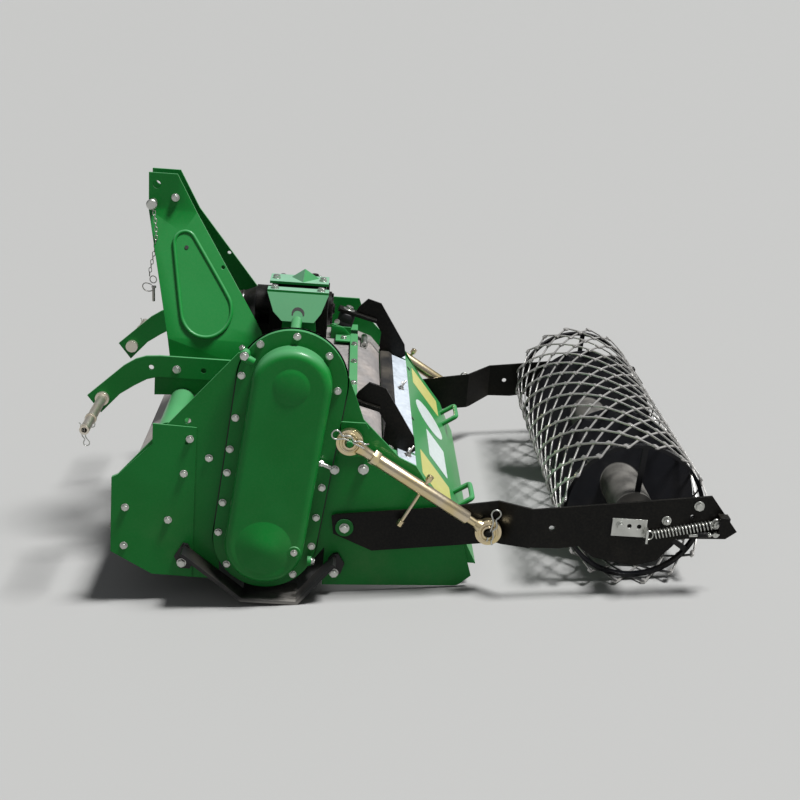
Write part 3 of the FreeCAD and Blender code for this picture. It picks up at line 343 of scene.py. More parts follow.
nodeFinishes = {
    "green": ("sidePlateLeft", "sidePlateRight", "frontPanelLeft", "frontPanelRight", "driveCase",
              "caseCover", "rotorHub", "mainTube", "rearBeam", "mastPlateLeft", "mastPlateRight",
              "linkArmLeft", "linkArmRight", "driveHousing", "bufferBracketLeft",
              "bufferBracketRight", "tailboard", "tailHandles"),
    "litGreen": ("gearBracket",),
    "black": ("gearbox", "tailArmLeft", "tailArmRight", "rollerArmLeft", "rollerArmRight", "rotor"),
    "core": ("rollerCore",),
    "skid": ("skidLeft", "skidRight"),
    "zinc": ("topPin", "mastSpacer", "springBracketLeft", "springBracketRight",
             "scraperSpringLeft", "scraperSpringRight"),
    "cream": ("lowerPinLeft", "lowerPinRight"),
    "yellowZinc": ("turnBarrelLeft", "turnBarrelRight", "turnRodLeft", "turnRodRight"),
    "galvanised": ("hood",),
    "strip": ("tailStrip",),
    "steel": ("rollerAxle", "inputShaft"),
    "strand": ("rollerMesh",),
    "plastic": ("shaftGuard",),
    "rubber": ("bufferLeft", "bufferRight"),
}
nodeSeams = {"join": 0.00001, "crease": 28}
for finishName, group in nodeFinishes.items():
    for nodeName in group:
        item = nodes[nodeName]
        item.data.materials.clear()
        item.data.materials.append(finishes[finishName])
        item.data.polygons.foreach_set("use_smooth", [True] * len(item.data.polygons))
        item.modifiers.new("join", "WELD").merge_threshold = nodeSeams["join"]
        item.modifiers.new("crease", "EDGE_SPLIT").split_angle = math.radians(nodeSeams["crease"])


def aim(spot, axis):  # turns local Z along the axis
    return Matrix.Translation(spot) @ Vector(axis).to_track_quat("Z", "Y").to_matrix().to_4x4()


def added(bm, known):  # the points that came after the known ones
    return [v for v in bm.verts if v not in known]


def edgesOf(verts):
    return {e for v in verts for e in v.link_edges}


def rounded(bm, edges, edge):
    bmesh.ops.bevel(bm, geom=list(edges), offset=edge, offset_type="OFFSET", segments=2,
                    profile=0.5, affect="EDGES", material=-1)


def addRod(bm, spot, axis, radius, length, sides=32, edge=0.0):  # six sides make a hexagon
    axis = Vector(axis).normalized()
    made = bmesh.ops.create_cone(bm, cap_ends=True, segments=sides, radius1=radius,
                                 radius2=radius, depth=length,
                                 matrix=aim(Vector(spot) + axis * length / 2, axis))
    if edge:
        rounded(bm, [e for e in edgesOf(made["verts"])
                     if any(abs(f.normal.dot(axis)) > 0.99 for f in e.link_faces)], edge)


def addTurned(bm, spot, axis, profile, steps=40):  # (radius, height) pairs turned about the axis
    known = set(bm.verts)
    line = [bm.verts.new((radius, 0, height)) for radius, height in profile]
    edges = [bm.edges.new(pair) for pair in zip(line, line[1:])]
    bmesh.ops.spin(bm, geom=line + edges, cent=(0, 0, 0), axis=(0, 0, 1), angle=2 * math.pi,
                   steps=steps, use_merge=True)
    bmesh.ops.remove_doubles(bm, verts=added(bm, known), dist=1e-6)
    bmesh.ops.transform(bm, matrix=aim(Vector(spot), axis), verts=added(bm, known))


def wireSection(bm, coil, wire, sides=10, filled=False):  # the round that a ring or a coil starts as
    place = Matrix.Translation((coil, 0, 0)) @ Matrix.Rotation(math.pi / 2, 4, "X")
    return bmesh.ops.create_circle(bm, cap_ends=filled, segments=sides, radius=wire,
                                   matrix=place)["verts"]


# A wire ring, or a chain link when it is stretched.
def addRing(bm, spot, axis, major, minor, stretch=0.0, turn=0.0, sides=10, steps=28):
    known = set(bm.verts)
    rim = wireSection(bm, major, minor, sides)
    bmesh.ops.spin(bm, geom=rim + list(edgesOf(rim)), cent=(0, 0, 0), axis=(0, 0, 1),
                   angle=2 * math.pi, steps=steps, use_merge=True)
    made = added(bm, known)
    for sign in (-1, 1):
        half = [v for v in made if v.co.x * sign > 1e-5]
        bmesh.ops.translate(bm, verts=half, vec=(stretch * sign, 0, 0))
    place = aim(Vector(spot), axis) @ Matrix.Rotation(turn, 4, "Z")
    bmesh.ops.transform(bm, matrix=place, verts=made)


def addBlock(bm, low, high, edge=0.0):
    low, high = Vector(low), Vector(high)
    place = Matrix.Translation((low + high) / 2) @ Matrix.Diagonal((*(high - low), 1))
    made = bmesh.ops.create_cube(bm, size=1, matrix=place)
    if edge:
        rounded(bm, edgesOf(made["verts"]), edge)


def push(bm, pushed, run):  # moves what an extrusion made
    bmesh.ops.translate(bm, verts=[g for g in pushed if isinstance(g, bmesh.types.BMVert)], vec=run)


def addPlate(bm, outline, depth, edge=0.0):  # flat outline pushed along depth
    face = bm.faces.new([bm.verts.new(p) for p in outline])
    pushed = bmesh.ops.extrude_face_region(bm, geom=[face])["geom"]
    push(bm, pushed, depth)
    if edge:
        rounded(bm, {e for g in pushed if isinstance(g, bmesh.types.BMFace) for e in g.edges}, edge)


def addWire(bm, points, radius, closed=False):  # a smooth round wire past the points
    curve = bpy.data.curves.new("wire", "CURVE")
    curve.dimensions = "3D"
    curve.bevel_depth, curve.bevel_resolution, curve.resolution_u = radius, 3, 6
    curve.use_fill_caps = True
    spline = curve.splines.new("NURBS")
    spline.points.add(len(points) - 1)
    for point, spot in zip(spline.points, points):
        point.co = (*spot, 1)
    spline.order_u = 3
    spline.use_endpoint_u = not closed
    spline.use_cyclic_u = closed
    holder = bpy.data.objects.new("wire", curve)
    mesh = bpy.data.meshes.new_from_object(holder)
    bm.from_mesh(mesh)
    bpy.data.objects.remove(holder)
    bpy.data.meshes.remove(mesh)
    bpy.data.curves.remove(curve)


stock = {}


def template(name, build):  # a small shape made once and stamped many times
    if name not in stock:
        bm = bmesh.new()
        build(bm)
        bmesh.ops.recalc_face_normals(bm, faces=bm.faces)
        stock[name] = bpy.data.meshes.new(name)
        bm.to_mesh(stock[name])
        bm.free()
    return stock[name]


def placed(bm, mesh, place):
    known = set(bm.verts)
    bm.from_mesh(mesh)
    bmesh.ops.transform(bm, matrix=place, verts=added(bm, known))


def stamp(bm, mesh, spot, axis, size=1.0, turn=0.0):
    placed(bm, mesh, aim(Vector(spot), axis) @ Matrix.Rotation(turn, 4, "Z") @ Matrix.Scale(size, 4))


# Bolt and nut stand on Z = 0, one unit across the flats.
def boltShape(bm):
    addRod(bm, (0, 0, 0), (0, 0, 1), 0.66, 0.12, 30, edge=0.03)
    addRod(bm, (0, 0, 0.12), (0, 0, 1), 0.577, 0.41, 6, edge=0.05)
    addTurned(bm, (0, 0, 0.52), (0, 0, 1), [(0, 0), (0.36, 0), (0.40, 0.05), (0, 0.05)], 24)


def nutShape(bm):
    addRod(bm, (0, 0, 0), (0, 0, 1), 0.72, 0.13, 30, edge=0.03)
    addRod(bm, (0, 0, 0.13), (0, 0, 1), 0.577, 0.50, 6, edge=0.05)
    threads = [(0, 0.6)]
    for k in range(5):
        threads += [(0.30, 0.6 + 0.075 * k), (0.265, 0.637 + 0.075 * k)]
    addTurned(bm, (0, 0, 0), (0, 0, 1), threads + [(0.24, 0.985), (0, 0.985)], 20)


bolt, nut = template("bolt", boltShape), template("nut", nutShape)


def addBolts(bm, spots, axis, size=0.017, shape=bolt):  # spots in mm, each turned a little further
    for k, spot in enumerate(spots):
        stamp(bm, shape, mm(*spot), axis, size, turn=0.7 * k)


def finished(bm, name, body, finish, crease=32):  # parks a level shape on its body
    bmesh.ops.recalc_face_normals(bm, faces=bm.faces)
    bm.transform(stance)
    mesh = bpy.data.meshes.new(name)
    bm.to_mesh(mesh)
    bm.free()
    mesh.materials.append(finishes[finish])
    mesh.shade_smooth()
    mesh.set_sharp_from_angle(angle=math.radians(crease))
    piece = bpy.data.objects.new(name, mesh)
    bpy.context.scene.collection.objects.link(piece)
    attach(piece, body)
    return piece


# The left piece as built and its mirror image on the right.
def bothSides(build, name, bodies, finish, crease=32):
    made = []
    for hand, body in zip(("Left", "Right"), bodies):
        bm = bmesh.new()
        build(bm)
        if hand == "Right":
            bmesh.ops.transform(bm, matrix=Matrix.Diagonal((1, -1, 1, 1)), verts=bm.verts)
        made.append(finished(bm, name + hand, body, finish, crease))
    return made


def single(build, name, body, finish, crease=32):
    bm = bmesh.new()
    build(bm)
    return finished(bm, name, body, finish, crease)


frameBoth, carrierBoth, tailBoth = ("frame",) * 2, ("carrier",) * 2, ("tailboard",) * 2
barrelBoth, rodBoth = ("barrel_left", "barrel_right"), ("rod_left", "rod_right")

print("stage: drive case")
caseValues = {
    "bolts": [(34, 675.5), (-66, 647), (125, 626), (-114, 554), (154, 527), (-126, 429),
              (-138, 335), (-143, 264), (-152, 172), (-161, 80), (-134, -19), (127, 236),
              (116, 143), (108, 53), (59, -39)],
    "flangeFace": -628, "coverFace": -686, "boltSize": 0.0165,
    "sealAndShade": ((27, 538, 157.8), (-27, 64, 151.8)), "gasketMiddle": -609.4, "gasketThick": 0.0024,
    "domes": ((-27, 64, 80), (27, 546, 52)), "domeSlack": 0.0006,
    "levelPlug": (60, 56), "breather": (-106, 619), "oilDrain": 18, "tightener": (160, 300),
}
cover = nodes["caseCover"].data
for x, z, radius in caseValues["domes"]:  # a shallow dome keeps a crisp edge
    domeSpot = stance @ mm(x, caseValues["coverFace"], z)
    onEdge = [abs((vertex.co - domeSpot).length - radius / 1000) < caseValues["domeSlack"]
              for vertex in cover.vertices]
    for edge in cover.edges:
        if onEdge[edge.vertices[0]] and onEdge[edge.vertices[1]]:
            edge.use_edge_sharp = True


def caseBolts(bm):
    spots = [(x, caseValues["flangeFace"], z) for x, z in caseValues["bolts"]]
    addBolts(bm, spots, left, caseValues["boltSize"])


def caseGasket(bm):  # the seal under the flange is drawn as a dark line; its black also stands in for the shadow in the gap between flange and plate, painted shade
    for x, z, radius in caseValues["sealAndShade"]:
        bmesh.ops.create_cone(bm, cap_ends=True, segments=96, radius1=radius / 1000,
                              radius2=radius / 1000, depth=caseValues["gasketThick"],
                              matrix=aim(mm(x, caseValues["gasketMiddle"], z), left))
    bmesh.ops.convex_hull(bm, input=bm.verts)


def casePlugBosses(bm):
    (plugX, plugZ), (x, z), drainZ = (caseValues[key] for key in ("levelPlug", "breather", "oilDrain"))
    addTurned(bm, mm(plugX, caseValues["coverFace"] + 1, plugZ), left,
              [(0, 0), (0.019, 0), (0.017, 0.004), (0, 0.004)])
    addRod(bm, mm(-80, -652, 600), mm(-32, 0, 17), 0.012, 0.036, 28, edge=0.001)
    addRod(bm, mm(x, -628, z), left, 0.0145, 0.030, 28, edge=0.001)
    addRod(bm, mm(98, -655, drainZ), back, 0.014, 0.012, 28, edge=0.001)


def casePlugs(bm):
    (plugX, plugZ), (x, z), drainZ = (caseValues[key] for key in ("levelPlug", "breather", "oilDrain"))
    stamp(bm, bolt, mm(plugX, caseValues["coverFace"] - 3, plugZ), left, 0.015)
    stamp(bm, bolt, mm(x, -658, z), left, 0.019, 0.3)
    stamp(bm, bolt, mm(x - 8, -640, z + 17), Vector((-0.5, -0.35, 0.8)), 0.013, 0.3)
    stamp(bm, bolt, mm(110, -655, drainZ), back, 0.017, 0.5)
    boltX, boltZ = caseValues["tightener"]
    run = mm(41, 0, -16)  # towards the tightener's head
    addRod(bm, mm(114, -648, 318.5), run, 0.0062, 0.048, 20)
    stamp(bm, nut, mm(117, -648, 317.5), run, 0.016)
    addRod(bm, mm(boltX, -640, boltZ), left, 0.0085, 0.008, 24)
    stamp(bm, bolt, mm(boltX, -648, boltZ), left, 0.020, 0.2)


single(caseBolts, "caseBolts", "frame", "zinc")
single(caseGasket, "caseGasket", "frame", "sealAndShade")
single(casePlugBosses, "casePlugBosses", "frame", "green")
single(casePlugs, "casePlugs", "frame", "zinc")

print("stage: side plates")
panelValues = {
    "bolts": [(-430, 133), (-432, 14), (-307, 102), (-266, 247), (-252, 352)],
    "edgeBolts": [(-197, 297)], "panelFace": -613, "sideFace": -608, "inside": -600,
    "pivot": (199, 116), "hub": (-27, 64), "hubReach": 88, "boltSize": 0.017,
}


def panelBolts(bm):
    for spots, face in (("bolts", "panelFace"), ("edgeBolts", "sideFace")):
        addBolts(bm, [(x, panelValues[face], z) for x, z in panelValues[spots]], left,
                 panelValues["boltSize"])
    addBolts(bm, [(242, panelValues["sideFace"], 292)], left, 0.0235)


def panelNuts(bm):  # the bolts' far ends, inside the rotor chamber
    spots = panelValues["bolts"] + panelValues["edgeBolts"]
    addBolts(bm, [(x, panelValues["inside"], z) for x, z in spots], right, panelValues["boltSize"], nut)


def pivotWashers(bm):
    x, z = panelValues["pivot"]
    addTurned(bm, mm(x, -624, z), left,
              [(0, 0), (0.0255, 0), (0.0255, 0.0036), (0.0245, 0.0046), (0, 0.0046)])


def pivotBolt(bm):  # head of the roller arm's pivot
    x, z = panelValues["pivot"]
    stamp(bm, bolt, mm(x, -628.6, z), left, 0.022, 0.2)


def hubBolts(bm):  # the far bearing's bolts and its grease cap
    (x, z), reach = panelValues["hub"], panelValues["hubReach"]
    for k in range(6):
        turn = math.radians(60 * k + 15)
        spot = mm(x + reach * math.cos(turn), -panelValues["sideFace"], z + reach * math.sin(turn))
        stamp(bm, bolt, spot, right, panelValues["boltSize"], turn)
    addTurned(bm, mm(x, 641, z), right,
              [(0, 0), (0.024, 0), (0.022, 0.005), (0.006, 0.006), (0.005, 0.014), (0, 0.014)])


bothSides(panelBolts, "panelBolts", frameBoth, "zinc")
bothSides(panelNuts, "panelNuts", frameBoth, "zinc")
bothSides(pivotWashers, "pivotWashers", frameBoth, "zinc")
bothSides(pivotBolt, "pivotBolt", frameBoth, "zinc")
single(hubBolts, "hubBolts", "frame", "zinc")

print("stage: headstock")
mastValues = {
    "linkFace": -294, "linkThick": 10, "pin": (-446, 910), "chainLinks": 17, "linkPitch": 0.0128,
    "chainStart": (-440, -86, 898), "field": ((-341, 799, 33), (-261, 612, 77)), "bead": 0.0058,
}


def linkBolts(bm):
    face = mastValues["linkFace"]
    addBolts(bm, [(-331, face, 455)], left, 0.019)
    addBolts(bm, [(-331, face + mastValues["linkThick"], 455)], right, 0.019, nut)
    addBolts(bm, [(-175, face, 460)], left, 0.017)


def mastBolts(bm):
    addBolts(bm, [(-379, -45, 929)], left, 0.019)
    addBolts(bm, [(-379, 45, 929)], right, 0.019, nut)


def embossBead(bm):  # rolled edge of the pressed field
    (x0, z0, r0), (x1, z1, r1) = mastValues["field"]
    lean = math.asin((r1 - r0) / math.hypot(x1 - x0, z1 - z0))
    ahead = math.atan2(z1 - z0, x1 - x0)
    points = []
    quarter = math.pi / 2 + lean
    for (x, z, r), first, last in (((x1, z1, r1), -quarter, quarter),
                                   ((x0, z0, r0), quarter, 2 * math.pi - quarter)):
        for k in range(13):
            turn = ahead + first + (last - first) * k / 12
            points.append(onMast(x + r * math.cos(turn), z + r * math.sin(turn)))
    addWire(bm, points, mastValues["bead"], closed=True)


def onMast(x, z, proud=4.5):  # a spot on the left plate's canted face
    return mm(x, -45 - (887.5 - z) * 161 / 361 - proud, z)


def mastHole(bm):  # painted shade: a thin black disc stands in for the dark of a blind hole in the pressed field
    addRod(bm, onMast(-335, 787, 6.3), Vector((0, -0.913, 0.407)), 0.0062, 0.0006, 28)


def pinChain(bm):
    start, pitch = mm(*mastValues["chainStart"]), mastValues["linkPitch"]
    for k in range(mastValues["chainLinks"]):
        sag = Vector((0.010 * math.sin(k / 4), 0, -pitch * k))
        addRing(bm, start + sag, right if k % 2 else back, 0.0042, 0.0012, stretch=0.0030,
                turn=math.pi / 2, sides=8, steps=16)
    end = start + Vector((0.004, 0, -pitch * mastValues["chainLinks"] - 0.004))
    addRing(bm, end, (0.3, 1, 0), 0.011, 0.0016)
    pin = end + Vector((0.002, -0.004, -0.030))
    bow = ((-6, 14), (-24, 22), (-36, 10), (-28, -6), (-8, -8), (2, 2), (-4, 12))
    addWire(bm, [pin + mm(x, 0, z) for x, z in bow], 0.0016)
    addRod(bm, pin + Vector((0, 0, 0.010)), (0.03, 0, -1), 0.0045, 0.048, 20, edge=0.001)
    addRod(bm, pin + Vector((-0.006, 0, 0.008)), (1, 0, 0), 0.004, 0.014, 16, edge=0.001)


def pinCollars(bm):
    x, z = mastValues["pin"]
    addTurned(bm, mm(x, -84, z), left,
              [(0, 0), (0.0165, 0), (0.0165, 0.0045), (0.0135, 0.007), (0, 0.007)])
    addRing(bm, mm(x, 64, z - 5), right, 0.016, 0.0015)


single(mastBolts, "mastBolts", "frame", "zinc")
bothSides(linkBolts, "linkBolts", frameBoth, "zinc")
bothSides(embossBead, "embossBead", frameBoth, "green", 80)
bothSides(mastHole, "mastHole", frameBoth, "sealAndShade")
single(pinChain, "pinChain", "frame", "steel")
single(pinCollars, "pinCollars", "frame", "zinc")


def clipShape(bm):  # a hairpin clip: one straight leg, one wavy leg, a spring eye
    straight = [(0, 0), (0, 16), (0, 30), (0, 40)]
    eye = [(-4, 48), (-9, 54), (-9, 62), (-3, 67), (5, 66), (9, 60), (7, 53), (2, 47)]
    wavy = [(7, 40), (10, 33), (6, 27), (3, 22), (8, 15), (10, 9), (7, 2), (12, -4)]
    addWire(bm, [mm(x, y, 0) for x, y in straight + eye + wavy], 0.0016)


clip = template("clip", clipShape)


def stampClip(bm, spot, run, face, size=1.0):  # the clip's legs go along run
    run, face = Vector(run).normalized(), Vector(face).normalized()
    turn = Matrix((run.cross(face), run, face)).transposed().to_4x4()
    placed(bm, clip, Matrix.Translation(spot) @ turn @ Matrix.Scale(size, 4))


def lowerPinTrim(bm):
    stampClip(bm, mm(-556, -579, 366), (0.15, 0, -1), left)
    addRing(bm, mm(-552, -486, 336), (0.5, 1, 0.2), 0.014, 0.0016)


bothSides(lowerPinTrim, "lowerPinTrim", frameBoth, "zinc")

print("stage: gearbox")
gearValues = {
    "topBolts": [(-55, -186, 700), (86, -188, 700), (-55, -86, 708), (89, -88, 708)],
    "lidBolts": [(-42, -12, 678), (74, -12, 678), (-42, 78, 678), (74, 78, 678)],
    "cap": (118, 0, 600), "capBolts": 44,
    "faceTop": [(-76, -206.5, 692), (110, -206.5, 692)], "faceOut": (0, -0.867, 0.498),
    "faceLow": [(90, -236, 641), (70, -251, 615), (-27, -251, 615), (-54, -237, 639)],
    "arch": [(2, 632), (2, 641), (5, 648), (11, 653), (20, 655), (29, 653), (36, 648), (40, 641),
             (40, 632), (36, 631), (34, 638), (28, 644), (20, 646), (12, 644), (7, 638), (6, 631)],
}


def gearBolts(bm):
    addBolts(bm, gearValues["topBolts"], up, 0.019)
    addBolts(bm, gearValues["lidBolts"], up, 0.013)
    for x, z in ((-24, 400), (76, 400)):
        stamp(bm, bolt, mm(x, -206, z), left, 0.017)


def capBolts(bm):
    for k in range(6):
        turn = math.radians(60 * k + 30)
        reach = Vector((0, math.cos(turn), math.sin(turn))) * gearValues["capBolts"] / 1000
        stamp(bm, bolt, mm(*gearValues["cap"]) + reach, back, 0.011, turn)


def gearRibs(bm):
    for y in (-96, -68, 68, 96):
        addBlock(bm, mm(98, y - 4, 512), mm(109, y + 4, 660), 0.002)
    addTurned(bm, mm(*gearValues["cap"]), back,
              [(0, 0), (0.034, 0), (0.032, 0.004), (0.018, 0.006), (0.015, 0.012), (0, 0.012)])
    addRod(bm, mm(60, 60, 677), up, 0.012, 0.018, 20, edge=0.002)


def gearFace(bm):  # folded face of the bracket, leaning out below its flange
    top, low = ([mm(*p) for p in gearValues[key]] for key in ("faceTop", "faceLow"))
    addPlate(bm, [*top, *low], Vector(gearValues["faceOut"]) * 0.003)
    for a, b in ((top[1], low[0]), (low[0], low[1]), (low[2], low[3]), (low[3], top[0])):
        inside = [Vector((p.x, -0.206, p.z)) for p in (b, a)]
        addPlate(bm, [a, b, *inside], Vector((math.copysign(0.003, 0.017 - a.x), 0, 0)))


def gearArchShade(bm):  # painted shade: a black sheet on the face stands in for the shadowed gap over the tie tube
    spots = [(x, -207 - (692 - z) * 43 / 75, z) for x, z in gearValues["arch"]]
    outward = Vector(gearValues["faceOut"])
    addPlate(bm, [mm(*p) + outward * 0.0028 for p in spots], outward * 0.0004)


def guardBell(bm):  # ribbed plastic bell around the drive shaft, narrower towards its mouth
    addTurned(bm, mm(-118, 0, 600), front, [
        (0.0176, 0), (0.057, 0), (0.057, 0.003), (0.053, 0.008), (0.042, 0.034), (0.0405, 0.040),
        (0.0415, 0.042), (0.0415, 0.046), (0.0395, 0.048), (0.038, 0.080), (0.039, 0.082),
        (0.039, 0.086), (0.037, 0.088), (0.036, 0.117), (0.038, 0.119), (0.038, 0.122),
        (0.033, 0.122), (0.034, 0.060), (0.036, 0.024), (0.0265, 0.023), (0.0176, 0.0228),
        (0.0176, 0)], 56)


single(gearBolts, "gearBolts", "frame", "zinc")
single(gearRibs, "gearRibs", "frame", "black")
# the bracket's face wears the lit copy of the green, painted light
single(gearFace, "gearFace", "frame", "litGreen")
single(gearArchShade, "gearArchShade", "frame", "sealAndShade")
single(capBolts, "capBolts", "frame", "black")
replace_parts(single(guardBell, "guardBell", "frame", "plastic"), "shaftGuard")

print("stage: buffers")
bufferValues = {
    "foot": (160, -491, 400.5), "tilt": 15, "radius": 29.5, "height": 64, "keep": 0.66,
    "bolt": 0.0760, "pad": 0.0645, "padThick": 0.0115, "padFront": 0.038, "padBack": 0.104,
}


def bufferAxis():
    lean = math.radians(bufferValues["tilt"])
    return Vector((math.sin(lean), 0, math.cos(lean)))


def bufferBody(bm):
    r, h = bufferValues["radius"] / 1000, bufferValues["height"] / 1000
    addTurned(bm, mm(*bufferValues["foot"]), bufferAxis(), [
        (0, 0), (r + 0.0006, 0), (r + 0.0006, 0.006), (r - 0.0015, 0.008), (r - 0.0005, 0.012),
        (r - 0.0005, h * 0.5), (r - 0.0012, h * 0.52), (r - 0.0005, h * 0.54),
        (r - 0.0005, h - 0.008), (r - 0.003, h - 0.002), (r - 0.006, h), (0, h)], 48)


def bufferStuds(bm):
    foot, axis = mm(*bufferValues["foot"]), bufferAxis()
    addRod(bm, foot - axis * 0.022, axis, 0.005, 0.022, 16)
    stamp(bm, nut, foot - axis * 0.0085, -axis, 0.017)
    addBolts(bm, [(140, -456, 436)], left, 0.015)


def leverBolts(bm):  # each presses its lever on a buffer
    top = mm(*bufferValues["foot"]) + bufferAxis() * bufferValues["bolt"]
    stamp(bm, bolt, top, bufferAxis(), 0.024, 0.3)
    addRod(bm, top, bufferAxis(), 0.021, 0.0022, 32, edge=0.0004)
    stamp(bm, bolt, mm(316, -502, 318), left, 0.020)


def leverPads(bm):  # thick bar that each lever rests with, run up to the lever
    lean = bufferAxis()
    away = right.cross(lean)
    base = mm(*bufferValues["foot"]) + lean * bufferValues["pad"]
    thick, front, rear = (bufferValues[key] for key in ("padThick", "padFront", "padBack"))
    outline = [base - away * front, base + away * rear, base + away * rear + lean * thick,
               base - away * (front - 0.004) + lean * thick]
    addPlate(bm, [Vector((p.x, -0.518, p.z)) for p in outline], (0, 0.050, 0), 0.0008)


def bufferCheek(bm):  # chamfered plate that carries the buffer's shelf
    outline = [(122, 378), (122, 424), (164, 420), (213, 372), (216, 345), (190, 345), (190, 378)]
    addPlate(bm, [mm(x, -449, z) for x, z in outline], (0, 0.002, 0), 0.0004)
    addBlock(bm, mm(138, -449, 386), mm(190, -372, 392), 0.001)


def beamBolts(bm):
    addBolts(bm, [(204, -330, 392), (204, -120, 392), (166, -402, 392)], up, 0.017)
    addBolts(bm, [(204, -400, 386)], (0, 0, -1), 0.017, nut)


def restTube(bm):  # short zinc tube on the hood beside the right lever
    addTurned(bm, mm(240, 398, 373), right, [
        (0.0072, 0), (0.0112, 0), (0.0118, 0.001), (0.0118, 0.109), (0.0112, 0.110), (0, 0.110),
        (0, 0.012), (0.0072, 0.012), (0.0072, 0)])


buffers = bothSides(bufferBody, "bufferBody", frameBoth, "rubber")
footX, footY, footZ = bufferValues["foot"]
for piece, nodeName, y in zip(buffers, ("bufferLeft", "bufferRight"), (footY, -footY)):
    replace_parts(piece, nodeName)
    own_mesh(piece)
bothSides(bufferStuds, "bufferStuds", frameBoth, "zinc")
bothSides(leverBolts, "leverBolts", tailBoth, "zinc")
bothSides(leverPads, "leverPads", tailBoth, "black")
bothSides(beamBolts, "beamBolts", frameBoth, "zinc")
bothSides(bufferCheek, "bufferCheek", frameBoth, "green")
single(restTube, "restTube", "frame", "zinc")

print("stage: tailboard")
tailValues = {
    "top": (392, 298), "slope": (146, -180), "proud": 0.6,
    "fasteners": [(365, 516), (364, 112), (364, -448), (368, -524)],
    "slots": [(404, 448), (398, -125)], "strip": (0.348, 0, 0.938),
    "yellow": [(42, 200, 345, 525), (38, 196, -548, -340)], "white": (96, 196, -268, -18),
    "oval": (125, 140), "ovalHalf": (0.078, 0.098), "handles": (-382, 382), "bow": 0.0082,
}


def tailMatrix():  # local X goes down the board, Y along it, Z out of it
    (topX, topZ), (slopeX, slopeZ) = tailValues["top"], tailValues["slope"]
    down = Vector((slopeX, 0, slopeZ)).normalized()
    turn = Matrix((down, right, down.cross(right))).transposed().to_4x4()
    return Matrix.Translation(mm(topX, 0, topZ)) @ turn


def onTail(bm, build):
    known = set(bm.verts)
    build(bm)
    bmesh.ops.transform(bm, matrix=tailMatrix(), verts=added(bm, known))


def blankPlate(s0, s1, y0, y1, radius=9):  # s runs down the board
    corners = []
    for s, y, start in ((s1 - radius, y1 - radius, 0), (s0 + radius, y1 - radius, 90),
                        (s0 + radius, y0 + radius, 180), (s1 - radius, y0 + radius, 270)):
        for k in range(5):
            turn = math.radians(start + 22.5 * k)
            corners.append((s + radius * math.cos(turn), y + radius * math.sin(turn)))

    def build(bm):
        addPlate(bm, [mm(s, y, 0.1) for s, y in corners], mm(0, 0, tailValues["proud"]))
    return build


def yellowPlates(bm):
    for plate in tailValues["yellow"]:
        onTail(bm, blankPlate(*plate))


def whitePlates(bm):
    onTail(bm, blankPlate(*tailValues["white"]))

    def oval(bm):
        place = (Matrix.Translation(mm(*tailValues["oval"], 0.1))
                 @ Matrix.Diagonal((*tailValues["ovalHalf"], 1, 1)))
        made = bmesh.ops.create_circle(bm, cap_ends=True, segments=64, radius=1, matrix=place)
        faces = list({f for v in made["verts"] for f in v.link_faces})
        push(bm, bmesh.ops.extrude_face_region(bm, geom=faces)["geom"],
             mm(0, 0, tailValues["proud"]))
    onTail(bm, oval)


def stripFasteners(bm):  # quarter-turn fasteners with spread wire ends
    tilt = Vector(tailValues["strip"])
    for x, y in tailValues["fasteners"]:
        base = mm(x, y, 308.1 + (365 - x) * 0.37) + tilt * 0.0045
        addRod(bm, base, tilt, 0.012, 0.0022, 28, edge=0.0004)
        addRod(bm, base, tilt, 0.0075, 0.009, 20, edge=0.001)
        for spread in (-1, 1):
            run = tilt + Vector((0.35, 0.75, 0)) * spread
            addRod(bm, base + tilt * 0.006, run, 0.0034, 0.028, 16, edge=0.0006)


def stripSlotShades(bm):
    # painted shade: thin black discs stand in for the dark of the strip's slots
    for s, y in tailValues["slots"]:
        spot = mm(s, y, 298 - (s - 392) * 180 / 146) + Vector((0.0007, 0, 0.0006))
        addRod(bm, spot, Vector((180, 0, 146)), 0.008, 0.001, 28)


def hingeFlapAndShade(bm):  # rubber seal over the hinge between the levers; its black also stands in for the dark band of shade there, painted shade
    line = [(298, 330.5), (303, 335), (330, 334), (342, 325.5)]
    for (x0, z0), (x1, z1) in zip(line, line[1:]):
        outline = ((x0, z0), (x1, z1), (x1, z1 - 2.4), (x0, z0 - 2.4))
        addPlate(bm, [mm(x, -478, z) for x, z in outline], mm(0, 956, 0))


def stripEnds(bm):  # the pale strip runs on outside its lever
    outline = ((338, 318.3), (392, 298.3), (393.8, 303.2), (339.8, 323.2))
    addPlate(bm, [mm(x, -590, z) for x, z in outline], mm(0, 88.5, 0), 0.0003)


def handleBows(bm):  # bent round bar, welded to the board
    out = Vector((0.0485, 0, 0.032))
    for y in tailValues["handles"]:
        halves = []
        for foot, inward in ((mm(531, y - 60, 125.6), mm(0, 10, 0)),
                             (mm(531, y + 60, 125.6), mm(0, -10, 0))):
            corner = foot + out
            halves.append([foot - out * 0.05, corner - out * 0.2,
                           corner - out * 0.05 + inward * 0.3, corner + inward])
        addWire(bm, halves[0] + halves[1][::-1], tailValues["bow"])


bothSides(stripEnds, "stripEnds", tailBoth, "strip")
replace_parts(single(handleBows, "handleBows", "tailboard", "green"), "tailHandles")
single(yellowPlates, "yellowPlates", "tailboard", "yellowPlate")
single(whitePlates, "whitePlates", "tailboard", "whitePlate")
single(stripFasteners, "stripFasteners", "tailboard", "steel")
single(hingeFlapAndShade, "hingeFlapAndShade", "tailboard", "rubber")
single(stripSlotShades, "stripSlotShades", "tailboard", "sealAndShade")

print("stage: turnbuckles")
turnValues = {
    "upper": (197, 387), "lower": (610, 141), "y": -649, "lockNut": 76, "neck": 28,
    "sleeve": 97, "rod": 434, "bar": (435, 302), "barRun": (-0.457, 0, -0.89), "eyeHalf": 10,
}


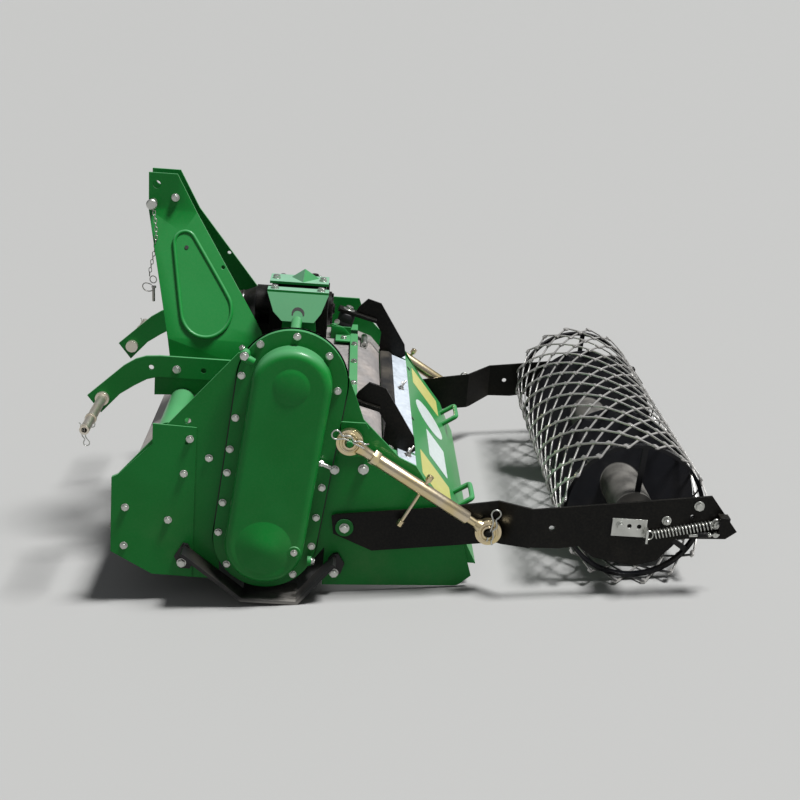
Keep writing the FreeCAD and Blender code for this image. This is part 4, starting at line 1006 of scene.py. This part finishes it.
def turnAxis():
    (ux, uz), (lx, lz) = turnValues["upper"], turnValues["lower"]
    return Vector((lx - ux, 0, lz - uz)).normalized()


def alongTurn(distance):
    x, z = turnValues["upper"]
    return mm(x, turnValues["y"], z) + turnAxis() * distance / 1000


def turnTrim(bm):  # lock nut, the eye's neck, the barrel's sleeve and the tommy bar
    addRod(bm, alongTurn(turnValues["lockNut"]), turnAxis(), 0.0225, 0.020, 6, edge=0.0012)
    addTurned(bm, alongTurn(turnValues["neck"]), turnAxis(), [
        (0, 0), (0.021, 0), (0.0175, 0.014), (0.0150, 0.030), (0.0145, 0.048), (0, 0.048)])
    addTurned(bm, alongTurn(turnValues["sleeve"]), turnAxis(), [
        (0, 0), (0.0180, 0), (0.0192, 0.003), (0.0192, 0.306), (0.0182, 0.311), (0, 0.311)])
    (x, z), down = turnValues["bar"], Vector(turnValues["barRun"])
    addRod(bm, mm(x, turnValues["y"], z) + down * 0.002, down, 0.0050, 0.160, 20)
    for shift in (0.0, 0.158):
        spot = mm(x - 1.5, turnValues["y"], z - 2.5) + down * shift
        addRod(bm, spot, down, 0.0100, 0.018, 6, edge=0.0008)


def eyeRings(spot):
    x, z = spot

    def build(bm):
        for axis in (left, right):
            face = mm(x, turnValues["y"], z) + axis * turnValues["eyeHalf"] / 1000
            addTurned(bm, face, axis, [
                (0.0225, -0.001), (0.0225, 0.0012), (0.0245, 0.0022), (0.0275, 0.0022),
                (0.0290, 0.0010), (0.0290, -0.001)])
            addTurned(bm, face, axis, [
                (0.0104, 0.0006), (0.0145, 0.0032), (0.0195, 0.0026), (0.0215, -0.001)])
    return build


def rodTrim(bm):  # cone where the thread runs into the lower eye
    addTurned(bm, alongTurn(turnValues["rod"]), turnAxis(), [
        (0.0112, 0), (0.0135, 0.003), (0.0185, 0.012), (0.0205, 0.017), (0, 0.017)])


def upperClip(bm):
    stampClip(bm, mm(238, -669, 377), (-0.91, 0, 0.41), left, 1.5)


def lowerClip(bm):
    stampClip(bm, mm(607, -668, 118), (0.24, 0, 1), left, 1.5)


def pinCaps(spot):
    x, z = spot

    def build(bm):
        addTurned(bm, mm(x, -669, z), left,
                  [(0, 0), (0.0094, 0), (0.0094, 0.004), (0.0078, 0.0055), (0, 0.0055)])
    return build


bothSides(turnTrim, "turnTrim", barrelBoth, "yellowZinc")
bothSides(eyeRings(turnValues["upper"]), "upperEyeRings", barrelBoth, "yellowZinc")
bothSides(eyeRings(turnValues["lower"]), "lowerEyeRings", rodBoth, "yellowZinc")
bothSides(rodTrim, "rodTrim", rodBoth, "yellowZinc")
bothSides(upperClip, "upperClip", frameBoth, "zinc")
bothSides(lowerClip, "lowerClip", carrierBoth, "zinc")
bothSides(pinCaps(turnValues["upper"]), "upperPinCap", frameBoth, "green")
bothSides(pinCaps(turnValues["lower"]), "lowerPinCap", carrierBoth, "black")

print("stage: roller arms")
scraperValues = {
    "start": (1052, -725, 190), "end": (1247, -725, 238), "turns": 17, "steps": 22,
    "coil": 12.3, "wire": 1.9, "studRun": (86, 0, 10),
}


def scraperAxis():
    start, end = mm(*scraperValues["start"]), mm(*scraperValues["end"])
    return start, (end - start).normalized(), (end - start).length


def scraperSpring(bm):
    start, axis, length = scraperAxis()
    coil, wire = scraperValues["coil"] / 1000, scraperValues["wire"] / 1000
    body = length - 0.034
    known = set(bm.verts)
    steps = scraperValues["turns"] * scraperValues["steps"]
    rim = wireSection(bm, coil, wire, filled=True)
    geom = rim + list(edgesOf(rim)) + list({f for v in rim for f in v.link_faces})
    bmesh.ops.spin(bm, geom=geom, cent=(0, 0, 0), axis=(0, 0, 1), dvec=(0, 0, body / steps),
                   angle=2 * math.pi * scraperValues["turns"], steps=steps)
    bmesh.ops.transform(bm, matrix=aim(start + axis * 0.016, axis), verts=added(bm, known))
    addRing(bm, start + axis * 0.003, right, 0.0125, wire, steps=32)
    addRing(bm, start + axis * (length - 0.006), right, 0.0135, wire, steps=32)


def armBolts(bm):
    addBolts(bm, [(1191, -708, 282)], left, 0.022)
    addBolts(bm, [(1104, -708, 232)], left, 0.019, nut)
    addBolts(bm, [(974, -712, 210)], left, 0.019)
    addBolts(bm, [(1246, -716, 236)], left, 0.022, nut)
    addBolts(bm, [(1191, -700, 282), (1246, -700, 236)], right, 0.019, nut)


def tightener(bm):  # threaded stud below the spring, with its nuts
    start, run = mm(1170, -722, 196), mm(*scraperValues["studRun"])
    addRod(bm, start, run, 0.0042, 0.086, 20, edge=0.0006)
    for shift, size in ((0.054, 0.013), (0.074, 0.016)):
        addRod(bm, start + run.normalized() * shift, run, size * 0.577, 0.008, 6, edge=0.0006)
    addRod(bm, mm(1244, -708, 204), left, 0.008, 0.020, 24, edge=0.0008)


def sleeve(bm):
    addRod(bm, mm(1194, -722, 198.8), mm(*scraperValues["studRun"]), 0.0085, 0.028, 28, edge=0.001)


springs = bothSides(scraperSpring, "scraperSpringCoil", carrierBoth, "zinc")
for piece, nodeName in zip(springs, ("scraperSpringLeft", "scraperSpringRight")):
    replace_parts(piece, nodeName)
bothSides(armBolts, "armBolts", carrierBoth, "zinc")
bothSides(tightener, "tightener", carrierBoth, "zinc")
bothSides(sleeve, "sleeve", carrierBoth, "rubber")

print("stage: roller mesh")
meshValues = {
    "centre": (1031, 213), "half": 641, "bars": 16, "turn": 247.5, "start": 13.5,
    "reach": 212.6, "slant": 0.35, "length": 23, "width": 10, "depth": 6.4,
}


def knotShape(bm):
    size = [meshValues[key] / 2000 for key in ("width", "depth", "length")]
    addBlock(bm, [-s for s in size], size)


knot = template("knot", knotShape)


def meshKnots(bm):  # the bonds where the mesh's bars meet
    (x, z), whole = meshValues["centre"], meshValues["turn"]
    pitch = 360 / meshValues["bars"]
    for row in range(int(2 * whole / pitch) + 1):
        share = row * pitch / (2 * whole)
        y = (2 * share - 1) * (meshValues["half"] - meshValues["length"] / 2)
        for bar in range(meshValues["bars"]):
            turn = math.radians(meshValues["start"] + pitch * bar + whole * share)
            out = Vector((math.cos(turn), 0, math.sin(turn)))
            around = Vector((-math.sin(turn), 0, math.cos(turn)))
            run = (around * meshValues["slant"] + right).normalized()
            place = Matrix((run.cross(out), out, run)).transposed().to_4x4()
            place.translation = mm(x, y, z) + out * meshValues["reach"] / 1000
            placed(bm, knot, place)


single(meshKnots, "meshKnots", "roller", "strand")

print("stage: rotor and skids")
rotorValues = {
    "axis": (-27, 64), "half": 530, "flanges": 6, "hoes": 4, "lead": 30, "reach": (66, 84),
    "hoeFace": 13, "flangeFace": 5, "skidBolts": [(-264, -621, -26), (177, -621, -30)],
}


def hoeBolts(bm):  # two bolts and nuts on each hoe
    (x, z), flanges, hoes = (rotorValues[key] for key in ("axis", "flanges", "hoes"))
    for k in range(flanges):
        y = (k - (flanges - 1) / 2) * rotorValues["half"] * 2 / flanges
        for j in range(hoes):
            turn = math.radians(360 / hoes * j + rotorValues["lead"] * k)
            for reach in rotorValues["reach"]:
                spot = mm(x + reach * math.cos(turn), y, z + reach * math.sin(turn))
                stamp(bm, bolt, spot + mm(0, rotorValues["hoeFace"], 0), right, 0.015, turn)
                stamp(bm, nut, spot - mm(0, rotorValues["flangeFace"], 0), left, 0.015, turn)


def skidBolts(bm):
    addBolts(bm, rotorValues["skidBolts"], left, 0.021)


single(hoeBolts, "hoeBolts", "rotor", "steel")
bothSides(skidBolts, "skidBolts", frameBoth, "zinc")

print("stage: floor")
floorValues = {
    "front": -80, "back": 70, "half": 60, "bend": 8, "rise": 24,
    "tone": (0.235, 0.235, 0.23), "rough": 0.8,
}


def makeFloor(values):
    paint = Paint("floorMatte")
    paint.feed(paint.shader, {"Base Color": values["tone"], "Roughness": values["rough"]})
    bm = bmesh.new()
    corner = bm.verts.new((-values["half"], values["back"], 0))
    bm.edges.new([bm.verts.new((-values["half"], values["front"], 0)), corner])
    bmesh.ops.spin(bm, geom=[corner], cent=(0, values["back"], values["bend"]), axis=(1, 0, 0),
                   angle=math.pi / 2, steps=24)
    bendTop = max(bm.verts, key=lambda v: v.co.z)
    wallTop = bm.verts.new((-values["half"], values["back"] + values["bend"], values["rise"]))
    bm.edges.new((bendTop, wallTop))
    push(bm, bmesh.ops.extrude_edge_only(bm, edges=bm.edges[:])["geom"], (2 * values["half"], 0, 0))
    bmesh.ops.recalc_face_normals(bm, faces=bm.faces)
    mesh = bpy.data.meshes.new("floor")
    bm.to_mesh(mesh)
    bm.free()
    mesh.materials.append(paint.material)
    mesh.shade_smooth()
    floor = bpy.data.objects.new("floor", mesh)
    bpy.context.scene.collection.objects.link(floor)


makeFloor(floorValues)
